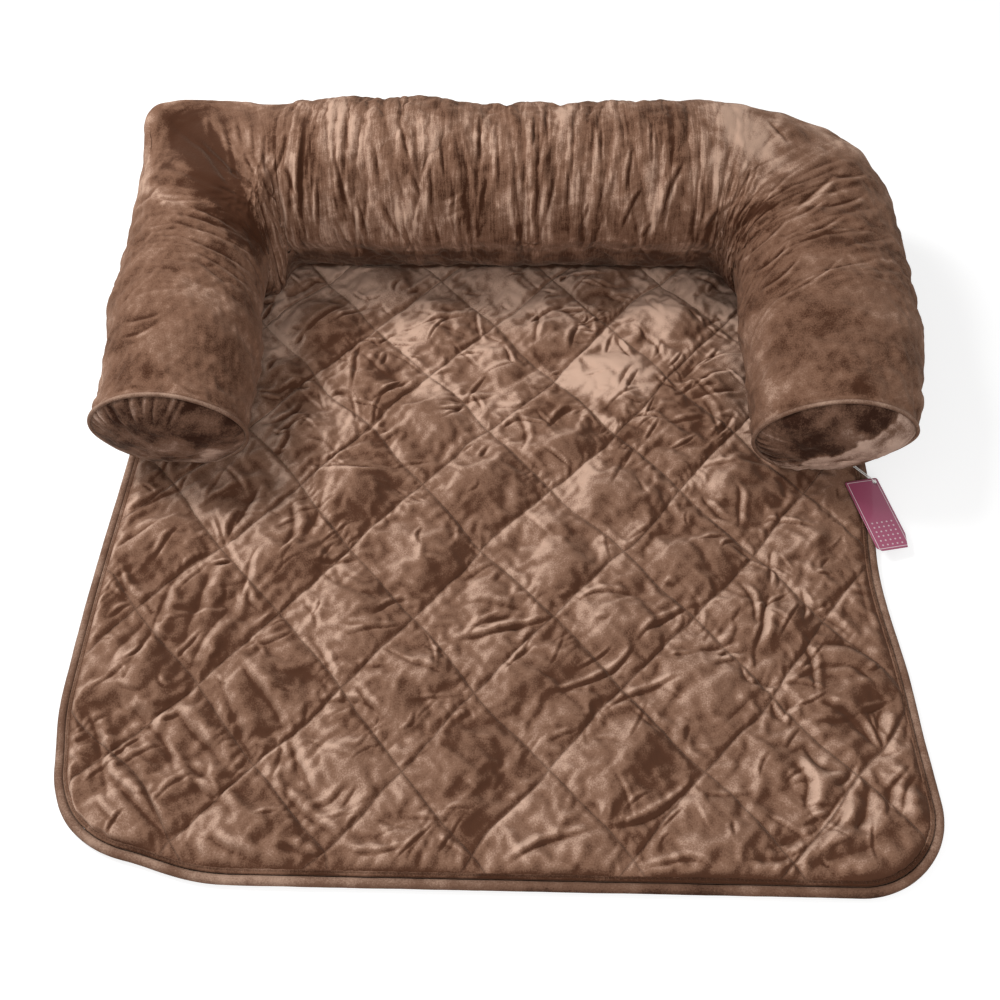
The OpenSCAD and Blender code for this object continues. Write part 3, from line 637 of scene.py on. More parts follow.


# Long folds and short creases of the spread cloth, read off the photograph in its own
# pixels: start, middle and end, then width and depth in millimetres
mat_crease_pixels = (
    (237, 660, 268, 702, 288, 735, 5, 4.5), (285, 733, 298, 762, 312, 795, 4, 4),
    (212, 665, 235, 720, 262, 778, 6, 3.5), (168, 705, 192, 730, 222, 762, 4.5, 3.5),
    (182, 762, 202, 775, 218, 790, 4, 3), (120, 698, 158, 735, 178, 780, 5, 3.5),
    (178, 782, 212, 795, 238, 825, 4.5, 3), (98, 752, 130, 800, 192, 848, 4.5, 3.5),
    (82, 700, 100, 755, 106, 815, 4.5, 3), (272, 785, 305, 812, 345, 846, 3.5, 2.5),
    (207, 830, 230, 852, 282, 862, 4, 3.5), (268, 848, 300, 852, 338, 872, 3.5, 3),
    (305, 808, 330, 800, 350, 782, 4, 2.5), (108, 585, 125, 598, 150, 608, 3.5, 3),
    (150, 612, 128, 640, 104, 672, 11, 4.5), (290, 493, 292, 530, 278, 562, 6, 4),
    (262, 482, 245, 510, 228, 535, 5, 3.5), (262, 545, 248, 570, 240, 600, 5, 3.5),
    (213, 500, 226, 545, 252, 582, 3.5, 2.5), (248, 585, 250, 600, 262, 612, 4, 3),
    (184, 555, 160, 610, 120, 690, 7, 4), (215, 560, 195, 610, 182, 650, 8, 4),
    (240, 585, 205, 640, 185, 675, 8, 4), (118, 560, 128, 590, 160, 610, 4, 3.5),
    (115, 515, 150, 500, 190, 485, 5, 3), (112, 550, 140, 535, 165, 522, 5, 3),
    (330, 478, 318, 510, 300, 545, 9, 4), (305, 505, 312, 520, 330, 530, 7, 2.5),
    (370, 620, 385, 606, 420, 600, 3, 2.5), (340, 636, 370, 632, 405, 622, 3, 2),
    (450, 641, 500, 632, 562, 613, 4, 4.5), (458, 628, 490, 622, 520, 610, 4, 2.5),
    (455, 606, 500, 604, 545, 612, 3.5, 2), (575, 603, 600, 592, 645, 600, 3.5, 3),
    (543, 693, 590, 684, 640, 642, 3.5, 4), (635, 645, 665, 620, 700, 606, 3.5, 3.5),
    (497, 868, 545, 845, 600, 828, 4, 4), (595, 830, 655, 815, 702, 776, 4, 4.5),
    (350, 682, 368, 702, 386, 722, 4, 3), (600, 715, 640, 692, 690, 678, 3.5, 3.5),
    (340, 848, 378, 853, 415, 846, 3, 2.5), (400, 658, 420, 668, 450, 674, 3.5, 2.5),
    (422, 644, 435, 650, 448, 660, 3, 2), (310, 632, 322, 655, 340, 678, 4, 3),
    (300, 595, 310, 610, 318, 630, 4, 2.5), (300, 705, 340, 700, 385, 712, 3.5, 2),
    (305, 565, 330, 562, 372, 556, 4, 3), (400, 470, 350, 468, 300, 462, 4, 3),
    (702, 492, 715, 512, 738, 522, 3.5, 3), (733, 482, 740, 505, 736, 530, 4, 3),
    (800, 582, 765, 562, 722, 545, 3.5, 3), (769, 590, 764, 618, 755, 652, 5, 5),
    (801, 585, 805, 600, 803, 625, 3.5, 3.5), (738, 578, 752, 605, 758, 630, 4, 3.5),
    (748, 650, 735, 652, 715, 655, 3.5, 3), (800, 632, 812, 665, 816, 702, 4, 3.5),
    (815, 700, 850, 716, 884, 755, 4, 4.5), (885, 672, 860, 648, 812, 648, 4.5, 3.5),
    (880, 690, 850, 668, 815, 668, 3.5, 2.5), (738, 662, 745, 675, 752, 688, 3, 2.5),
    (782, 685, 765, 683, 748, 682, 3, 2.5), (768, 698, 776, 710, 786, 726, 3, 3),
    (798, 700, 790, 708, 780, 716, 3, 2.5), (790, 760, 808, 785, 802, 815, 5, 4),
    (850, 772, 820, 765, 802, 742, 5, 4), (852, 782, 832, 812, 795, 828, 6, 5.5),
    (835, 815, 800, 838, 760, 848, 6, 4.5), (820, 845, 780, 858, 740, 862, 5, 4),
    (905, 772, 893, 790, 888, 822, 6, 5), (918, 775, 906, 795, 902, 825, 5, 4),
    (872, 782, 868, 805, 855, 835, 6, 4.5), (850, 800, 838, 822, 815, 842, 5, 3.5),
    (920, 790, 934, 815, 942, 848, 5, 3), (640, 872, 668, 862, 722, 870, 3.5, 3),
    (890, 845, 860, 850, 820, 865, 8, 3.5), (860, 760, 850, 775, 830, 790, 4, 3),
    (885, 700, 880, 725, 888, 760, 5, 3), (775, 545, 770, 565, 772, 590, 4, 3),
    (840, 540, 862, 590, 878, 650, 5, 2.5), (800, 600, 830, 618, 858, 640, 4, 2.5),
    (690, 655, 725, 645, 745, 640, 3.5, 2.5), (740, 372, 712, 378, 684, 392, 3.5, 3),
    (745, 392, 718, 394, 688, 400, 3.5, 3), (742, 352, 710, 358, 680, 382, 3.5, 3),
    (738, 412, 728, 422, 718, 440, 4, 3), (700, 395, 712, 412, 720, 435, 4, 3),
    (650, 372, 672, 385, 690, 398, 3.5, 3), (640, 330, 655, 345, 665, 362, 3.5, 2.5),
    (568, 352, 575, 335, 578, 318, 4, 3), (535, 305, 538, 325, 532, 348, 4, 3),
    (505, 345, 508, 355, 516, 366, 3, 3), (385, 352, 410, 362, 435, 380, 4, 3),
    (352, 395, 355, 372, 362, 340, 4, 3), (545, 432, 560, 415, 590, 405, 4, 3),
    (385, 410, 372, 425, 350, 432, 4, 2.5), (275, 395, 300, 385, 325, 390, 4, 3),
    (265, 425, 285, 418, 305, 400, 4, 3), (280, 300, 300, 290, 330, 275, 5, 3),
    (300, 340, 325, 322, 350, 300, 4, 2.5), (420, 330, 440, 322, 470, 318, 4, 3),
    (435, 405, 460, 402, 505, 395, 4, 2.5), (515, 408, 525, 430, 520, 455, 4, 2.5),
    (640, 290, 650, 305, 662, 322, 4, 3), (690, 275, 710, 285, 738, 295, 4, 2.5),
    (620, 395, 632, 402, 648, 398, 4, 2.5), (270, 460, 285, 445, 290, 425, 4, 3),
    (340, 455, 325, 440, 305, 435, 4, 2.5))
cloth_level = 0.015
spread = laid(grid)[..., :2]
for from_x, from_y, by_x, by_y, to_x, to_y, width, depth in mat_crease_pixels:
    start, middle, end = on_level(np.array([(from_x, from_y), (by_x, by_y), (to_x, to_y)]), cloth_level)
    way = (end - start) / np.hypot(*(end - start))
    bow = (middle - (start + end) / 2) @ np.array([-way[1], way[0]])
    fuller = 1.4 if start[1] < -0.25 and abs(start[0]) > 0.20 else 1.0
    fold_cloth(relief, spread, start, end, bow, fuller * width / 1000, fuller * depth / 1000, 0.0012)
small_creases = 420
chance = np.random.default_rng(33)
for _ in range(small_creases):
    centre = chance.uniform([-0.42, -0.47], [0.42, 0.34])
    way = chance.choice([0.0, 0.3, -0.3, 0.8, -0.8, 1.2]) + chance.normal(0, 0.25)
    half = chance.uniform(0.009, 0.034) * np.array([np.cos(way), np.sin(way)])
    crushed = 1.0 + 0.5 * (centre[1] > 0) + 0.4 * (abs(centre[0]) > 0.30)
    depth = chance.uniform(0.0006, 0.0019) * crushed
    width = chance.uniform(0.0018, 0.0036)
    fold_cloth(relief, spread, centre - half, centre + half, chance.normal(0, 0.0035), width, depth)
seam_off = np.minimum(np.abs(p + q - np.round(p + q)), np.abs(p - q - np.round(p - q))) * 0.115
run = np.where(np.abs(p + q - np.round(p + q)) < np.abs(p - q - np.round(p - q)), p - q, p + q) * 0.116
phase = 2.6 * drift(x, y, 0.09, 5)
gathers = np.abs(np.sin(np.pi * run / 0.0125 + phase)) - 0.6
gathers = gathers * np.exp(-seam_off / 0.012) * ease(seam_off / 0.003)
relief += 0.0014 * gathers * ease(0.4 + 1.3 * drift(x, y, 0.16, 6))
uneven = 0.0003 * drift(x, y, 0.035, 7, 2) + 0.0014 * drift(x, y, 0.11, 8, 2)
relief += uneven * ease(seam_off / 0.02)
sewn_flat = loose * open_cloth * (0.35 + 0.65 * ease(seam_off / 0.0045))
relief = fold_limit * np.tanh(relief / fold_limit) * sewn_flat
groove = -0.0010 * bell(seam_off / 0.0030) * loose * open_cloth
z = z + relief + groove
z = np.where(z > puff_top, puff_top + 0.008 * np.tanh((z - puff_top) / 0.008), z)
z = np.maximum(z, cloth_lowest)
under_tag = ease((x - 0.380) / 0.02) * ease((y + 0.150) / 0.02) * ease((0.01 - y) / 0.02)
z = z - under_tag * np.maximum(z - pressed_level, 0)
grid = laid(np.stack([x, y, z], -1))

# Painted light on slopes turned to the lamp, painted shade on slopes turned from it and in hollows; the
# pile was brushed by hand in each diamond
painted_lamp_light = facing(grid, lamp_side)
hollow_shade = np.clip((z - soften(z, 30)) / 0.0022, -1, 1)
hollow_shade = hollow_shade * (0.25 + 0.75 * ease((seam_off - 0.001) / 0.006))
cell_s, cell_d = np.floor(p + q).astype(int), np.floor(p - q).astype(int)
diamond_tones = {(3, -3): 0.62, (2, -4): 0.34, (2, -5): 0.20, (4, -3): 0.30, (5, -3): 0.30,
                 (1, -4): 0.16, (-1, 0): 0.20, (-2, -2): 0.16, (-1, -3): 0.22, (-1, -1): -0.16,
                 (0, 0): -0.10, (3, -4): 0.12, (-2, -1): 0.10, (0, -1): -0.08}
chance = np.random.default_rng(57)
table = np.array([[diamond_tones.get((i, j), chance.normal(0, 0.09)) for j in range(-14, 12)]
                  for i in range(-12, 14)])
brushed = table[np.clip(cell_s + 12, 0, 25), np.clip(cell_d + 14, 0, 25)]
brushed = brushed * ease(0.75 + 0.9 * drift(x, y, 0.10, 58))
crush = 0.20 * drift(x, y, 0.13, 59, 4) * (0.45 + 0.75 * ease((y + 0.12) / 0.25))
at_rear = ease((y - 0.15) / 0.18)
# Painted light on the mat beside the arms and the back, against the bolster's shadow, and a painted dark
# line of shadow where the mat goes under the bolster
painted_light_by_bolster = ease((past_seat(x, y) + 0.05) / 0.05) * ease((y - 0.02) / 0.03)
nap_and_shade = painted_lamp_light + 0.40 * hollow_shade + soften(brushed, 6) + crush + 0.14 * at_rear - 0.05
nap_and_shade += 0.24 * painted_light_by_bolster - 1.2 * ease((past_seat(x, y) - 0.058) / 0.010)
nap_and_shade -= 0.05 * ease((-y - 0.05) / 0.15)
nap_and_shade = np.clip(nap_and_shade, -0.75, 0.85)
keep = ~np.repeat(np.repeat(gone, 4, 0), 4, 1)
faces = sheet_faces(x.shape)[keep].tolist()
quilt = make_piece("quilted_top", grid.reshape(-1, 3), faces, quilt_plush, closed=False)
set_map(quilt, "quilting", np.stack([p + q, p - q], -1))
set_share(quilt, "nap_and_shade", nap_and_shade)
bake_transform(quilt)
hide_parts("seat_quilted_top", "flap_quilted_top")

# Border: a narrow band of the same plush round the quilting, sewn down in one row of stitches.


def edge(share, inset):
    """Points on the panel's edge drawn in by an inset, at shares of its length from the middle
    of the front, anticlockwise: the centre of curvature moves along the straight runs, and the
    heading turns in the corners. The outward way is given too."""
    a, b = panel_half - front_round, panel_half - rear_round
    f, g = panel_front + front_round, panel_rear - rear_round
    centre_x = np.array([0, a, a, b, b, -b, -b, -a, -a, 0])
    centre_y = np.array([f, f, f, g, g, g, g, f, f, f])
    radius = np.array([1, 1, 1, 0, 0, 0, 0, 1, 1, 1]) * (front_round - rear_round) + rear_round
    heading = np.radians([-90, -90, 0, 0, 90, 90, 180, 180, 270, 270])
    front_arc, rear_arc = front_round * np.pi / 2, rear_round * np.pi / 2
    legs = np.array([a, front_arc, g - f, rear_arc, 2 * b, rear_arc, g - f, front_arc, a])
    stop = np.concatenate([[0], np.cumsum(legs)]) / legs.sum()
    turn = np.interp(share, stop, heading)
    out_x, out_y = np.cos(turn), np.sin(turn)
    size = np.interp(share, stop, radius) - inset
    x = np.interp(share, stop, centre_x) + size * out_x
    y = np.interp(share, stop, centre_y) + size * out_y
    return x, y, out_x, out_y


def to_lamp(out_x, out_y):
    """How far a level direction turns to the main lamp, behind and to the left."""
    return (-0.62 * out_x + 0.62 * out_y)[:, None]


band_points = 1440
band_length = 3.62
band_stitches = 260.0
stitch_inset = 0.0030
band_level = 0.0108
stitch_half = 0.0011

border_plush, tree, shader, nap = plush_finish("border_plush", plush_tones, 0.30, 0.42, 0.10, 1.0)
ways = map_ways(tree, "band")
stitch = sums(tree, "PINGPONG", sums(tree, "MULTIPLY", ways[0], band_stitches), 0.5)
off = sums(tree, "ABSOLUTE", sums(tree, "SUBTRACT", ways[1], stitch_inset), 0.0)
line = reach(tree, off, 0.0, stitch_half, 1.0, 0.0)
sew_line(tree, shader, nap, sums(tree, "MULTIPLY", line, reach(tree, stitch, 0.08, 0.2)), 0.15, 1.5)

share = np.arange(band_points) / band_points
profile = np.array([(8.0, 7.6), (7.4, 8.0), (6.2, 8.8), (5.2, 9.6), (4.4, 10.4), (3.7, 10.9),
                    (3.0, 11.1), (2.3, 11.0), (1.6, 10.6), (0.9, 10.0), (0.2, 8.8), (0.2, 7.1),
                    (4.0, 7.1), (7.6, 7.1)]) / 1000
rings = np.zeros((len(share), len(profile), 3))
edge_x, edge_y, out_x, out_y = edge(share, 0.0)
lift = ease((profile[:, 1] - 0.0095) / 0.002)
length = band_length * share
swell = 1 + 0.16 * drift(length, 0 * length, 0.11, 41)
ripple = 0.0005 * np.sin(2 * np.pi * length / 0.011 + 2.5 * drift(length, 0 * length, 0.05, 42))
tucked = ease((0.022 - past_seat(edge_x, edge_y)) / 0.02)
wander = 0.0016 * drift(length, 0 * length, 0.07, 43)
for k, (inset, level) in enumerate(profile):
    rings[:, k, 0], rings[:, k, 1], _, _ = edge(share, inset + wander * ease((inset - 0.006) / 0.005))
    rise = (level - band_level) * swell + ripple * (1.2 - abs(k - 5) / 5)
    raised = band_level - 0.0003 * (1 - tucked) + rise * (0.3 + 0.7 * tucked)
    rings[:, k, 2] = np.where(lift[k] > 0, raised, level)
points, faces = loft(laid(rings), joined=True)
band = make_piece("mat_border", points, faces, border_plush)
set_map(band, "band", np.stack(np.broadcast_arrays(length[:, None], profile[None, :, 0]), -1))
# Painted shade in the gap at the band's outer edge, next to the piping, and painted light on its outer
# side turned to the lamp
tone_and_shade = -0.04 - 0.25 * (profile[:, 0] < 0.0006)
front_shade = -0.30 * ease((edge_x + 0.12) / 0.20) * (out_y < -0.5)
facing_lamp = 0.25 * to_lamp(out_x, out_y) * (profile[:, 0] < 0.004)
clouds = front_shade + 0.15 * drift(length, 0 * length, 0.10, 44)
set_share(band, "nap_and_shade", tone_and_shade + facing_lamp + clouds[:, None])
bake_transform(band)

# Piping: a cord in a sleeve of the same plush, sewn all round the mat's edge.

pipe_tones = ((0.040, 0.016, 0.009), (0.150, 0.078, 0.050), (0.40, 0.26, 0.19))
pipe_plush, tree, shader, nap = plush_finish("pipe_plush", pipe_tones, 0.30, 0.40, 0.10, 1.0)
raise_surface(tree, shader, nap.outputs["Height"], pile_relief)

pipe = 0.005
pipe_sunk = 0.0002
pipe_points = 1300
pipe_length = 3.65
share = np.arange(pipe_points) / pipe_points
centre_x, centre_y, out_x, out_y = edge(share, -pipe + pipe_sunk)
angle = 2 * np.pi * np.arange(14) / 14
length = pipe_length * share[:, None]
uneven = 0.035 * drift(length, 0.01 * angle[None, :], 0.07, 51)
thick = pipe * (1 + uneven + 0.02 * np.sin(angle * 3 + 40 * length))
flat = 1 - 0.06 * (np.sin(angle) < -0.7)
rings = np.zeros((len(share), len(angle), 3))
rings[..., 0] = centre_x[:, None] + thick * np.cos(angle) * out_x[:, None]
rings[..., 1] = centre_y[:, None] + thick * np.cos(angle) * out_y[:, None]
rings[..., 2] = np.maximum(pipe + thick * np.sin(angle) * flat, 0)
points, faces = loft(laid(rings), joined=True)
piping = make_piece("mat_piping", points, faces, pipe_plush)
# Painted light on the cord's top and on its side turned to the lamp, painted shade on its underside and on
# the side turned away
turned = 0.22 * np.sin(angle) + 0.22 * np.cos(angle) * to_lamp(out_x, out_y)
front_shade = 0.12 - 0.36 * ease((centre_x + 0.12) / 0.20)
turned = turned + (front_shade * (out_y < -0.5))[:, None]
set_share(piping, "nap_and_shade", turned + 0.12 * drift(length, 0 * length, 0.06, 52))
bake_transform(piping)
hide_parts("seat_piping", "flap_piping")

# Bolster: three stuffed arms of one U, left, back and right, in gathered plush covers that are
# seamed together at the two rear corners. Loose fibre fills them.

plan_shares = (5.0, 2.6)
box_shares = (3.2, 0.5)
arm_front = 0.0195
seat_level = 0.012
arm_reach = 0.207
back_reach = 0.236
arm_half = 0.0803
arm_growth = 0.0088
back_growth = 0.0213
pressed = 0.93
arm_steps, corner_steps, back_steps = 44, 30, 96
left_turned_in = 0.013
right_bulge = 0.033
right_base_in = 0.016
back_base_in = 0.018
ends_forward = 0.014
ends_lean = 0.018
ends_sag = 0.010
corner_in_by = 0.007
corner_sag = 0.014
rear_sag = 0.013


def bolster_point(path, angle, inset):
    """The bolster's skin. Path counts 0 to 1 down the left arm, 1 to 2 and 3 to 4 round the
    corners, 2 to 3 over the back and 4 to 5 down the right arm. The section is a superellipse
    about the middle of its reach from the inner corner's centre, pressed flat on the mat."""
    side = np.where(path < 2.5, -1.0, 1.0)
    leg = np.minimum(path, 5 - path)
    turned = 90 * np.clip(leg - 1, 0, 1)
    turn = np.radians(turned)
    plan = np.where(side < 0, plan_shares[0], plan_shares[1])
    box = np.where(side < 0, box_shares[0], box_shares[1])
    over_x, over_y = np.cos(turn) / arm_reach, np.maximum(np.sin(turn), 0) / back_reach
    far = (over_x ** plan + over_y ** plan) ** (-1 / plan)
    arm = np.clip(leg, 0, 1)
    half = arm_half + arm_growth * arm + back_growth * ease(turned / 90)
    square = 2 + box * np.sin(2 * turn) ** 2
    heading = np.where(side < 0, np.pi - turn, turn)
    origin_x = np.clip(path - 2.5, -0.5, 0.5) * 2 * turn_x
    origin_y = arm_front + (turn_y - arm_front) * arm
    c, s = np.cos(np.radians(angle)), np.sin(np.radians(angle))
    wide = (far - inner_round) / 2 - inset
    across = (far + inner_round) / 2 + wide * np.sign(c) * np.abs(c) ** (2 / square)
    rise = pressed * half + (half - inset) * np.sign(s) * np.abs(s) ** (2 / square)
    level = seat_level + np.maximum(inset, rise)
    x, y = origin_x + np.cos(heading) * across, origin_y + np.sin(heading) * across
    return np.stack(np.broadcast_arrays(x, y, level), -1)


def slumped(points):
    """The stuffed form as it lies: the arms' ends sag forward, the left one turns in, and the
    right one is drawn in below. The right arm and its corner bulge outwards, and both rear
    corners sag at the top."""
    x, y, z = points[..., 0], points[..., 1], points[..., 2]
    near = ease((0.15 - y) / 0.14)
    high = ease((z - seat_level) / 0.16)
    bulge = ease((x - 0.32) / 0.12) * ease((y + 0.01) / 0.15) * (0.4 + 0.6 * ease(z / 0.06))
    sag = bell((x + 0.335) / 0.05) + bell((x - 0.36) / 0.09)
    moved = points.copy()
    corner = ease((-x - 0.33) / 0.12) * ease((y - 0.27) / 0.12)
    tuck = ease((0.37 - y) / 0.07) * ease((y - 0.26) / 0.03)
    tuck = tuck * ease((0.12 - z) / 0.05) * ease((0.31 - np.abs(x)) / 0.06)
    turned_in = ease((-x - 0.2) / 0.08) * ease((0.24 - y) / 0.16)
    moved[..., 0] += left_turned_in * turned_in + right_bulge * bulge + corner_in_by * corner
    drawn_in = ease((x - 0.37) / 0.08) * ease((0.13 - y) / 0.10) * ease((0.105 - z) / 0.08)
    moved[..., 0] = np.minimum(moved[..., 0] - right_base_in * drawn_in, 0.520)
    moved[..., 1] += back_base_in * tuck - near * (ends_forward + ends_lean * high)
    at_rear = ease((y - 0.26) / 0.08)
    moved[..., 2] -= high * (corner_sag * corner + ends_sag * near + rear_sag * sag * at_rear)
    return moved


def tube_faces(count, around):
    """The four-cornered faces of a tube of rings, open at both ends."""
    index = np.arange(count * around).reshape(count, around)
    turned = np.roll(index, -1, 1)
    return np.stack([index[:-1], turned[:-1], turned[1:], index[1:]], -1).reshape(-1, 4).tolist()


fill_fibre = clouded_finish("fill_fibre", (260.0, 6.0, 3.0), (0.70, 0.69, 0.66), (0.88, 0.87, 0.85),
                            1.0, 0.85, 0.003)
cover_thick = 0.016
fill_rings = 40

angle = np.arange(36) * 10.0
stuffings = (("left_stuffing", "left_arm_fill", 0.03, 1.49), ("back_stuffing", "back_fill", 1.51, 3.49),
             ("right_stuffing", "right_arm_fill", 3.51, 4.97))
for name, node, low, high in stuffings:
    path = np.linspace(low, high, fill_rings)[:, None]
    rings = bolster_point(path, angle[None, :], cover_thick)
    middle = rings.mean(1, keepdims=True)
    tips = np.sin(np.pi * np.linspace(0, 1, fill_rings)) ** 0.12
    lumps = 1 + 0.012 * drift(rings[..., 0], rings[..., 1] + rings[..., 2], 0.12, 61)
    full = np.maximum(tips, 0.55)[:, None] * np.minimum(lumps, 1.0)
    points, faces = loft(slumped(middle + (rings - middle) * full[..., None]))
    stuffing = make_piece(name, points, faces, fill_fibre)
    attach(stuffing, "bed")
    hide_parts(node)

cover_plush, tree, shader, nap = plush_finish("cover_plush", plush_tones, 0.36, 0.50, 0.95, 1.0, "combed")
raise_surface(tree, shader, nap.outputs["Height"], pile_relief)

# The cover's grid: steps along the path, and angles spaced evenly round the back's section from
# the middle of its underside, where the cloth closes
counts = (arm_steps, corner_steps, back_steps, corner_steps, arm_steps)
legs = [np.linspace(k, k + 1, count + 1)[:-1] for k, count in enumerate(counts)]
path = np.concatenate(legs + [[5.0]])
sweep = np.linspace(-90, 270, 1441)
ring = bolster_point(np.array(2.5), sweep, 0.0)
walked = np.concatenate([[0], np.cumsum(np.linalg.norm(np.diff(ring, axis=0), axis=1))])
girth = walked[-1]
angle = np.interp(np.arange(101) / 100 * girth, walked, sweep)
path, angle = np.meshgrid(path, angle, indexing="ij")
over = ease((angle - 60) / 116) * ease((300 - angle) / 60)
left_bend = 0.27 * over * bell((path - 1.5) / 0.42)
path = path - left_bend
grid = bolster_point(path, angle, 0.0)
seated = grid[..., 2] < seat_level + 0.0005
count, around = grid.shape[0], grid.shape[1] - 1
chance = np.random.default_rng(71)
start = grid[:, :-1] + chance.normal(0, 0.0005, grid[:, :-1].shape)
faces = tube_faces(count, around)
trial = make_piece("cover_trial", start.reshape(-1, 3), faces, cover_plush, closed=False)
flat_strip = (np.abs(path[:, :-1] - 2.5) < 0.43) & (angle[:, :-1] > -48) & (angle[:, :-1] < -13)
ends = (path[:, :-1] < 0.001) | (path[:, :-1] > 4.999)
pinned = seated[:, :-1] | flat_strip | ends
settled = cloth_settle(trial, pinned.ravel(), 0.045, 1.0, 12, 0.05).reshape(count, around, 3)
moved = settled - grid[:, :-1]
moved = moved - np.stack([soften(moved[..., k], 120) for k in range(3)], -1)
size = np.linalg.norm(moved, axis=-1, keepdims=True)
moved = moved * np.minimum(1, settle_limit / np.maximum(size, 1e-9)) * ~flat_strip[..., None]
grid = grid + np.concatenate([moved, moved[:, :1]], 1)
grid = finer(finer(grid))
path, angle = finest(path), finest(angle) % 360
grid[:, 0] = grid[:, -1]

arm_length = 0.244
corner_length = 0.204
mid_turn = 0.13
s_run = np.linspace(0, girth, grid.shape[1])[None, :] + 0 * path
seated = ease((grid[..., 2] - seat_level) / 0.010)
leg = np.minimum(path, 5 - path)
side = np.where(path < 2.5, -1.0, 1.0)
on_arm = turn_x + corner_length + (1 - leg) * arm_length
on_corner = turn_x + (2 - leg) * np.pi / 2 * mid_turn
along_u = side * np.where(leg >= 2, (2.5 - leg) * 2 * turn_x, np.where(leg >= 1, on_corner, on_arm))
turn_off = np.hypot(np.abs(grid[..., 0]) - turn_x, grid[..., 1] - turn_y) / mid_turn
gain = np.where((leg > 1) & (leg < 2), np.clip(turn_off, 0.15, 1.0) ** 0.8, 1.0)
relief = np.zeros(along_u.shape)


def patch_at(u, at, wide, deep):
    """A soft patch of the cover round a place on it: 1 in its middle, fading outwards."""
    return np.exp(-(((along_u - u) / wide) ** 2) - (((angle - at) / deep) ** 2))


# Sets of gathers: how many, where along the path, depths, widths, how many degrees of the section
# they run, where they start, how they slant, how far they are drawn to the caught points, a seed
gather_sets = ((64, -0.31, 0.31, 0.0016, 0.0036, 0.0026, 0.0060, 50, 170, 30, 120, 0.00016, 0.55, 81),
               (150, -0.47, 0.40, 0.0007, 0.0018, 0.0018, 0.0034, 18, 70, 15, 190, 0.00025, 0.30, 82),
               (46, -0.30, 0.30, 0.0014, 0.0030, 0.0024, 0.0046, 30, 80, 125, 165, 0.00022, 0.65, 88),
               (34, -0.62, -0.41, 0.0007, 0.0017, 0.0026, 0.0060, 60, 160, 15, 90, 0.00016, 0.0, 83),
               (48, 0.29, 0.60, 0.0007, 0.0020, 0.0024, 0.0058, 60, 165, 20, 100, 0.00030, 0.0, 84),
               (14, -0.72, -0.60, 0.0003, 0.0009, 0.0050, 0.0110, 40, 110, 10, 110, 0.00040, 0.0, 85),
               (14, 0.60, 0.72, 0.0003, 0.0009, 0.0050, 0.0110, 40, 110, 10, 110, 0.00040, 0.0, 86),
               (56, -0.45, 0.45, 0.0014, 0.0030, 0.0036, 0.0075, 40, 110, 290, 350, 0.00020, 0.0, 87))
caught = np.array([-0.262, -0.185, -0.118, -0.035, 0.040, 0.112, 0.195, 0.262])
for gathers in gather_sets:
    count, low, high, shallow, deep, narrow, wide, short, long, start, stop, slant, drawn, seed = gathers
    chance = np.random.default_rng(seed)
    for place in np.linspace(low, high, count):
        middle = place + chance.normal(0, 0.45 * (high - low) / count)
        depth, width = chance.uniform(shallow, deep), chance.uniform(narrow, wide)
        begin = chance.uniform(start, stop)
        run = chance.uniform(short, long)
        turn_way = chance.choice([-1, 1])
        leant = 0.00042 if place > 0.40 else -0.00016 if place < -0.42 else 0.0
        tilt = chance.normal(0, slant) + leant
        rate, phase, bend = chance.uniform(1.5, 4), chance.uniform(0, 6.3), chance.normal(0, 0.004)
        near = np.abs(along_u - middle) < 0.05 + 5 * width
        shift = (angle[near] - begin) % 360
        share = shift / run
        pulled = ease((shift + begin - 95) / 105) * drawn * (shift + begin < 300)
        to = caught[np.argmin(np.abs(caught - middle))]
        line = middle + tilt * (shift - run / 2) + 0.0022 * np.sin(np.radians(shift) * rate + phase)
        line = line + bend * (2 * share - 1) ** 2 + (to - middle) * pulled
        across = (along_u[near] - line) / width * turn_way
        form = 0.40 * np.exp(-0.8 * (across + 1.9) ** 2) + 0.50 * np.exp(-0.8 * (across - 1.9) ** 2)
        form -= np.exp(-1.7 * np.abs(across) ** 1.2)
        ends = ease(4 * share) * ease(4 * (1 - share)) * (np.abs(share - 0.5) < 0.5)
        relief[near] += depth * ends * form
calm = 1 - 0.85 * patch_at(0.305, 112, 0.045, 30) - 0.7 * patch_at(-0.132, 135, 0.016, 32)
crest = ease((angle - 48) / 30) + (angle < 20)
relief *= 0.44 * gain * np.clip(calm, 0.1, 1) * (0.35 + 0.65 * np.clip(crest, 0, 1))


def pucker(middle, at, size, depth, spokes, turn):
    """A star of short creases drawn to one point, where the cloth is caught."""
    dx, dy = along_u - middle, np.radians(angle - at) * 0.11
    off = np.hypot(dx, dy)
    fan = 0.6 * np.cos(spokes * np.arctan2(dy, dx) + turn + 60 * off) * ease(off / (0.3 * size))
    caught_point = 0.9 * bell(off / (0.22 * size))
    return depth * np.exp(-((off / size) ** 1.2)) * (fan - caught_point)


relief += pucker(-0.300, 150, 0.022, 0.0022, 5, 0.6)
relief += pucker(0.040, 184, 0.020, 0.0020, 4, 1.2)
relief += 0.0007 * drift(along_u, s_run, 0.030, 93, 2) * calm
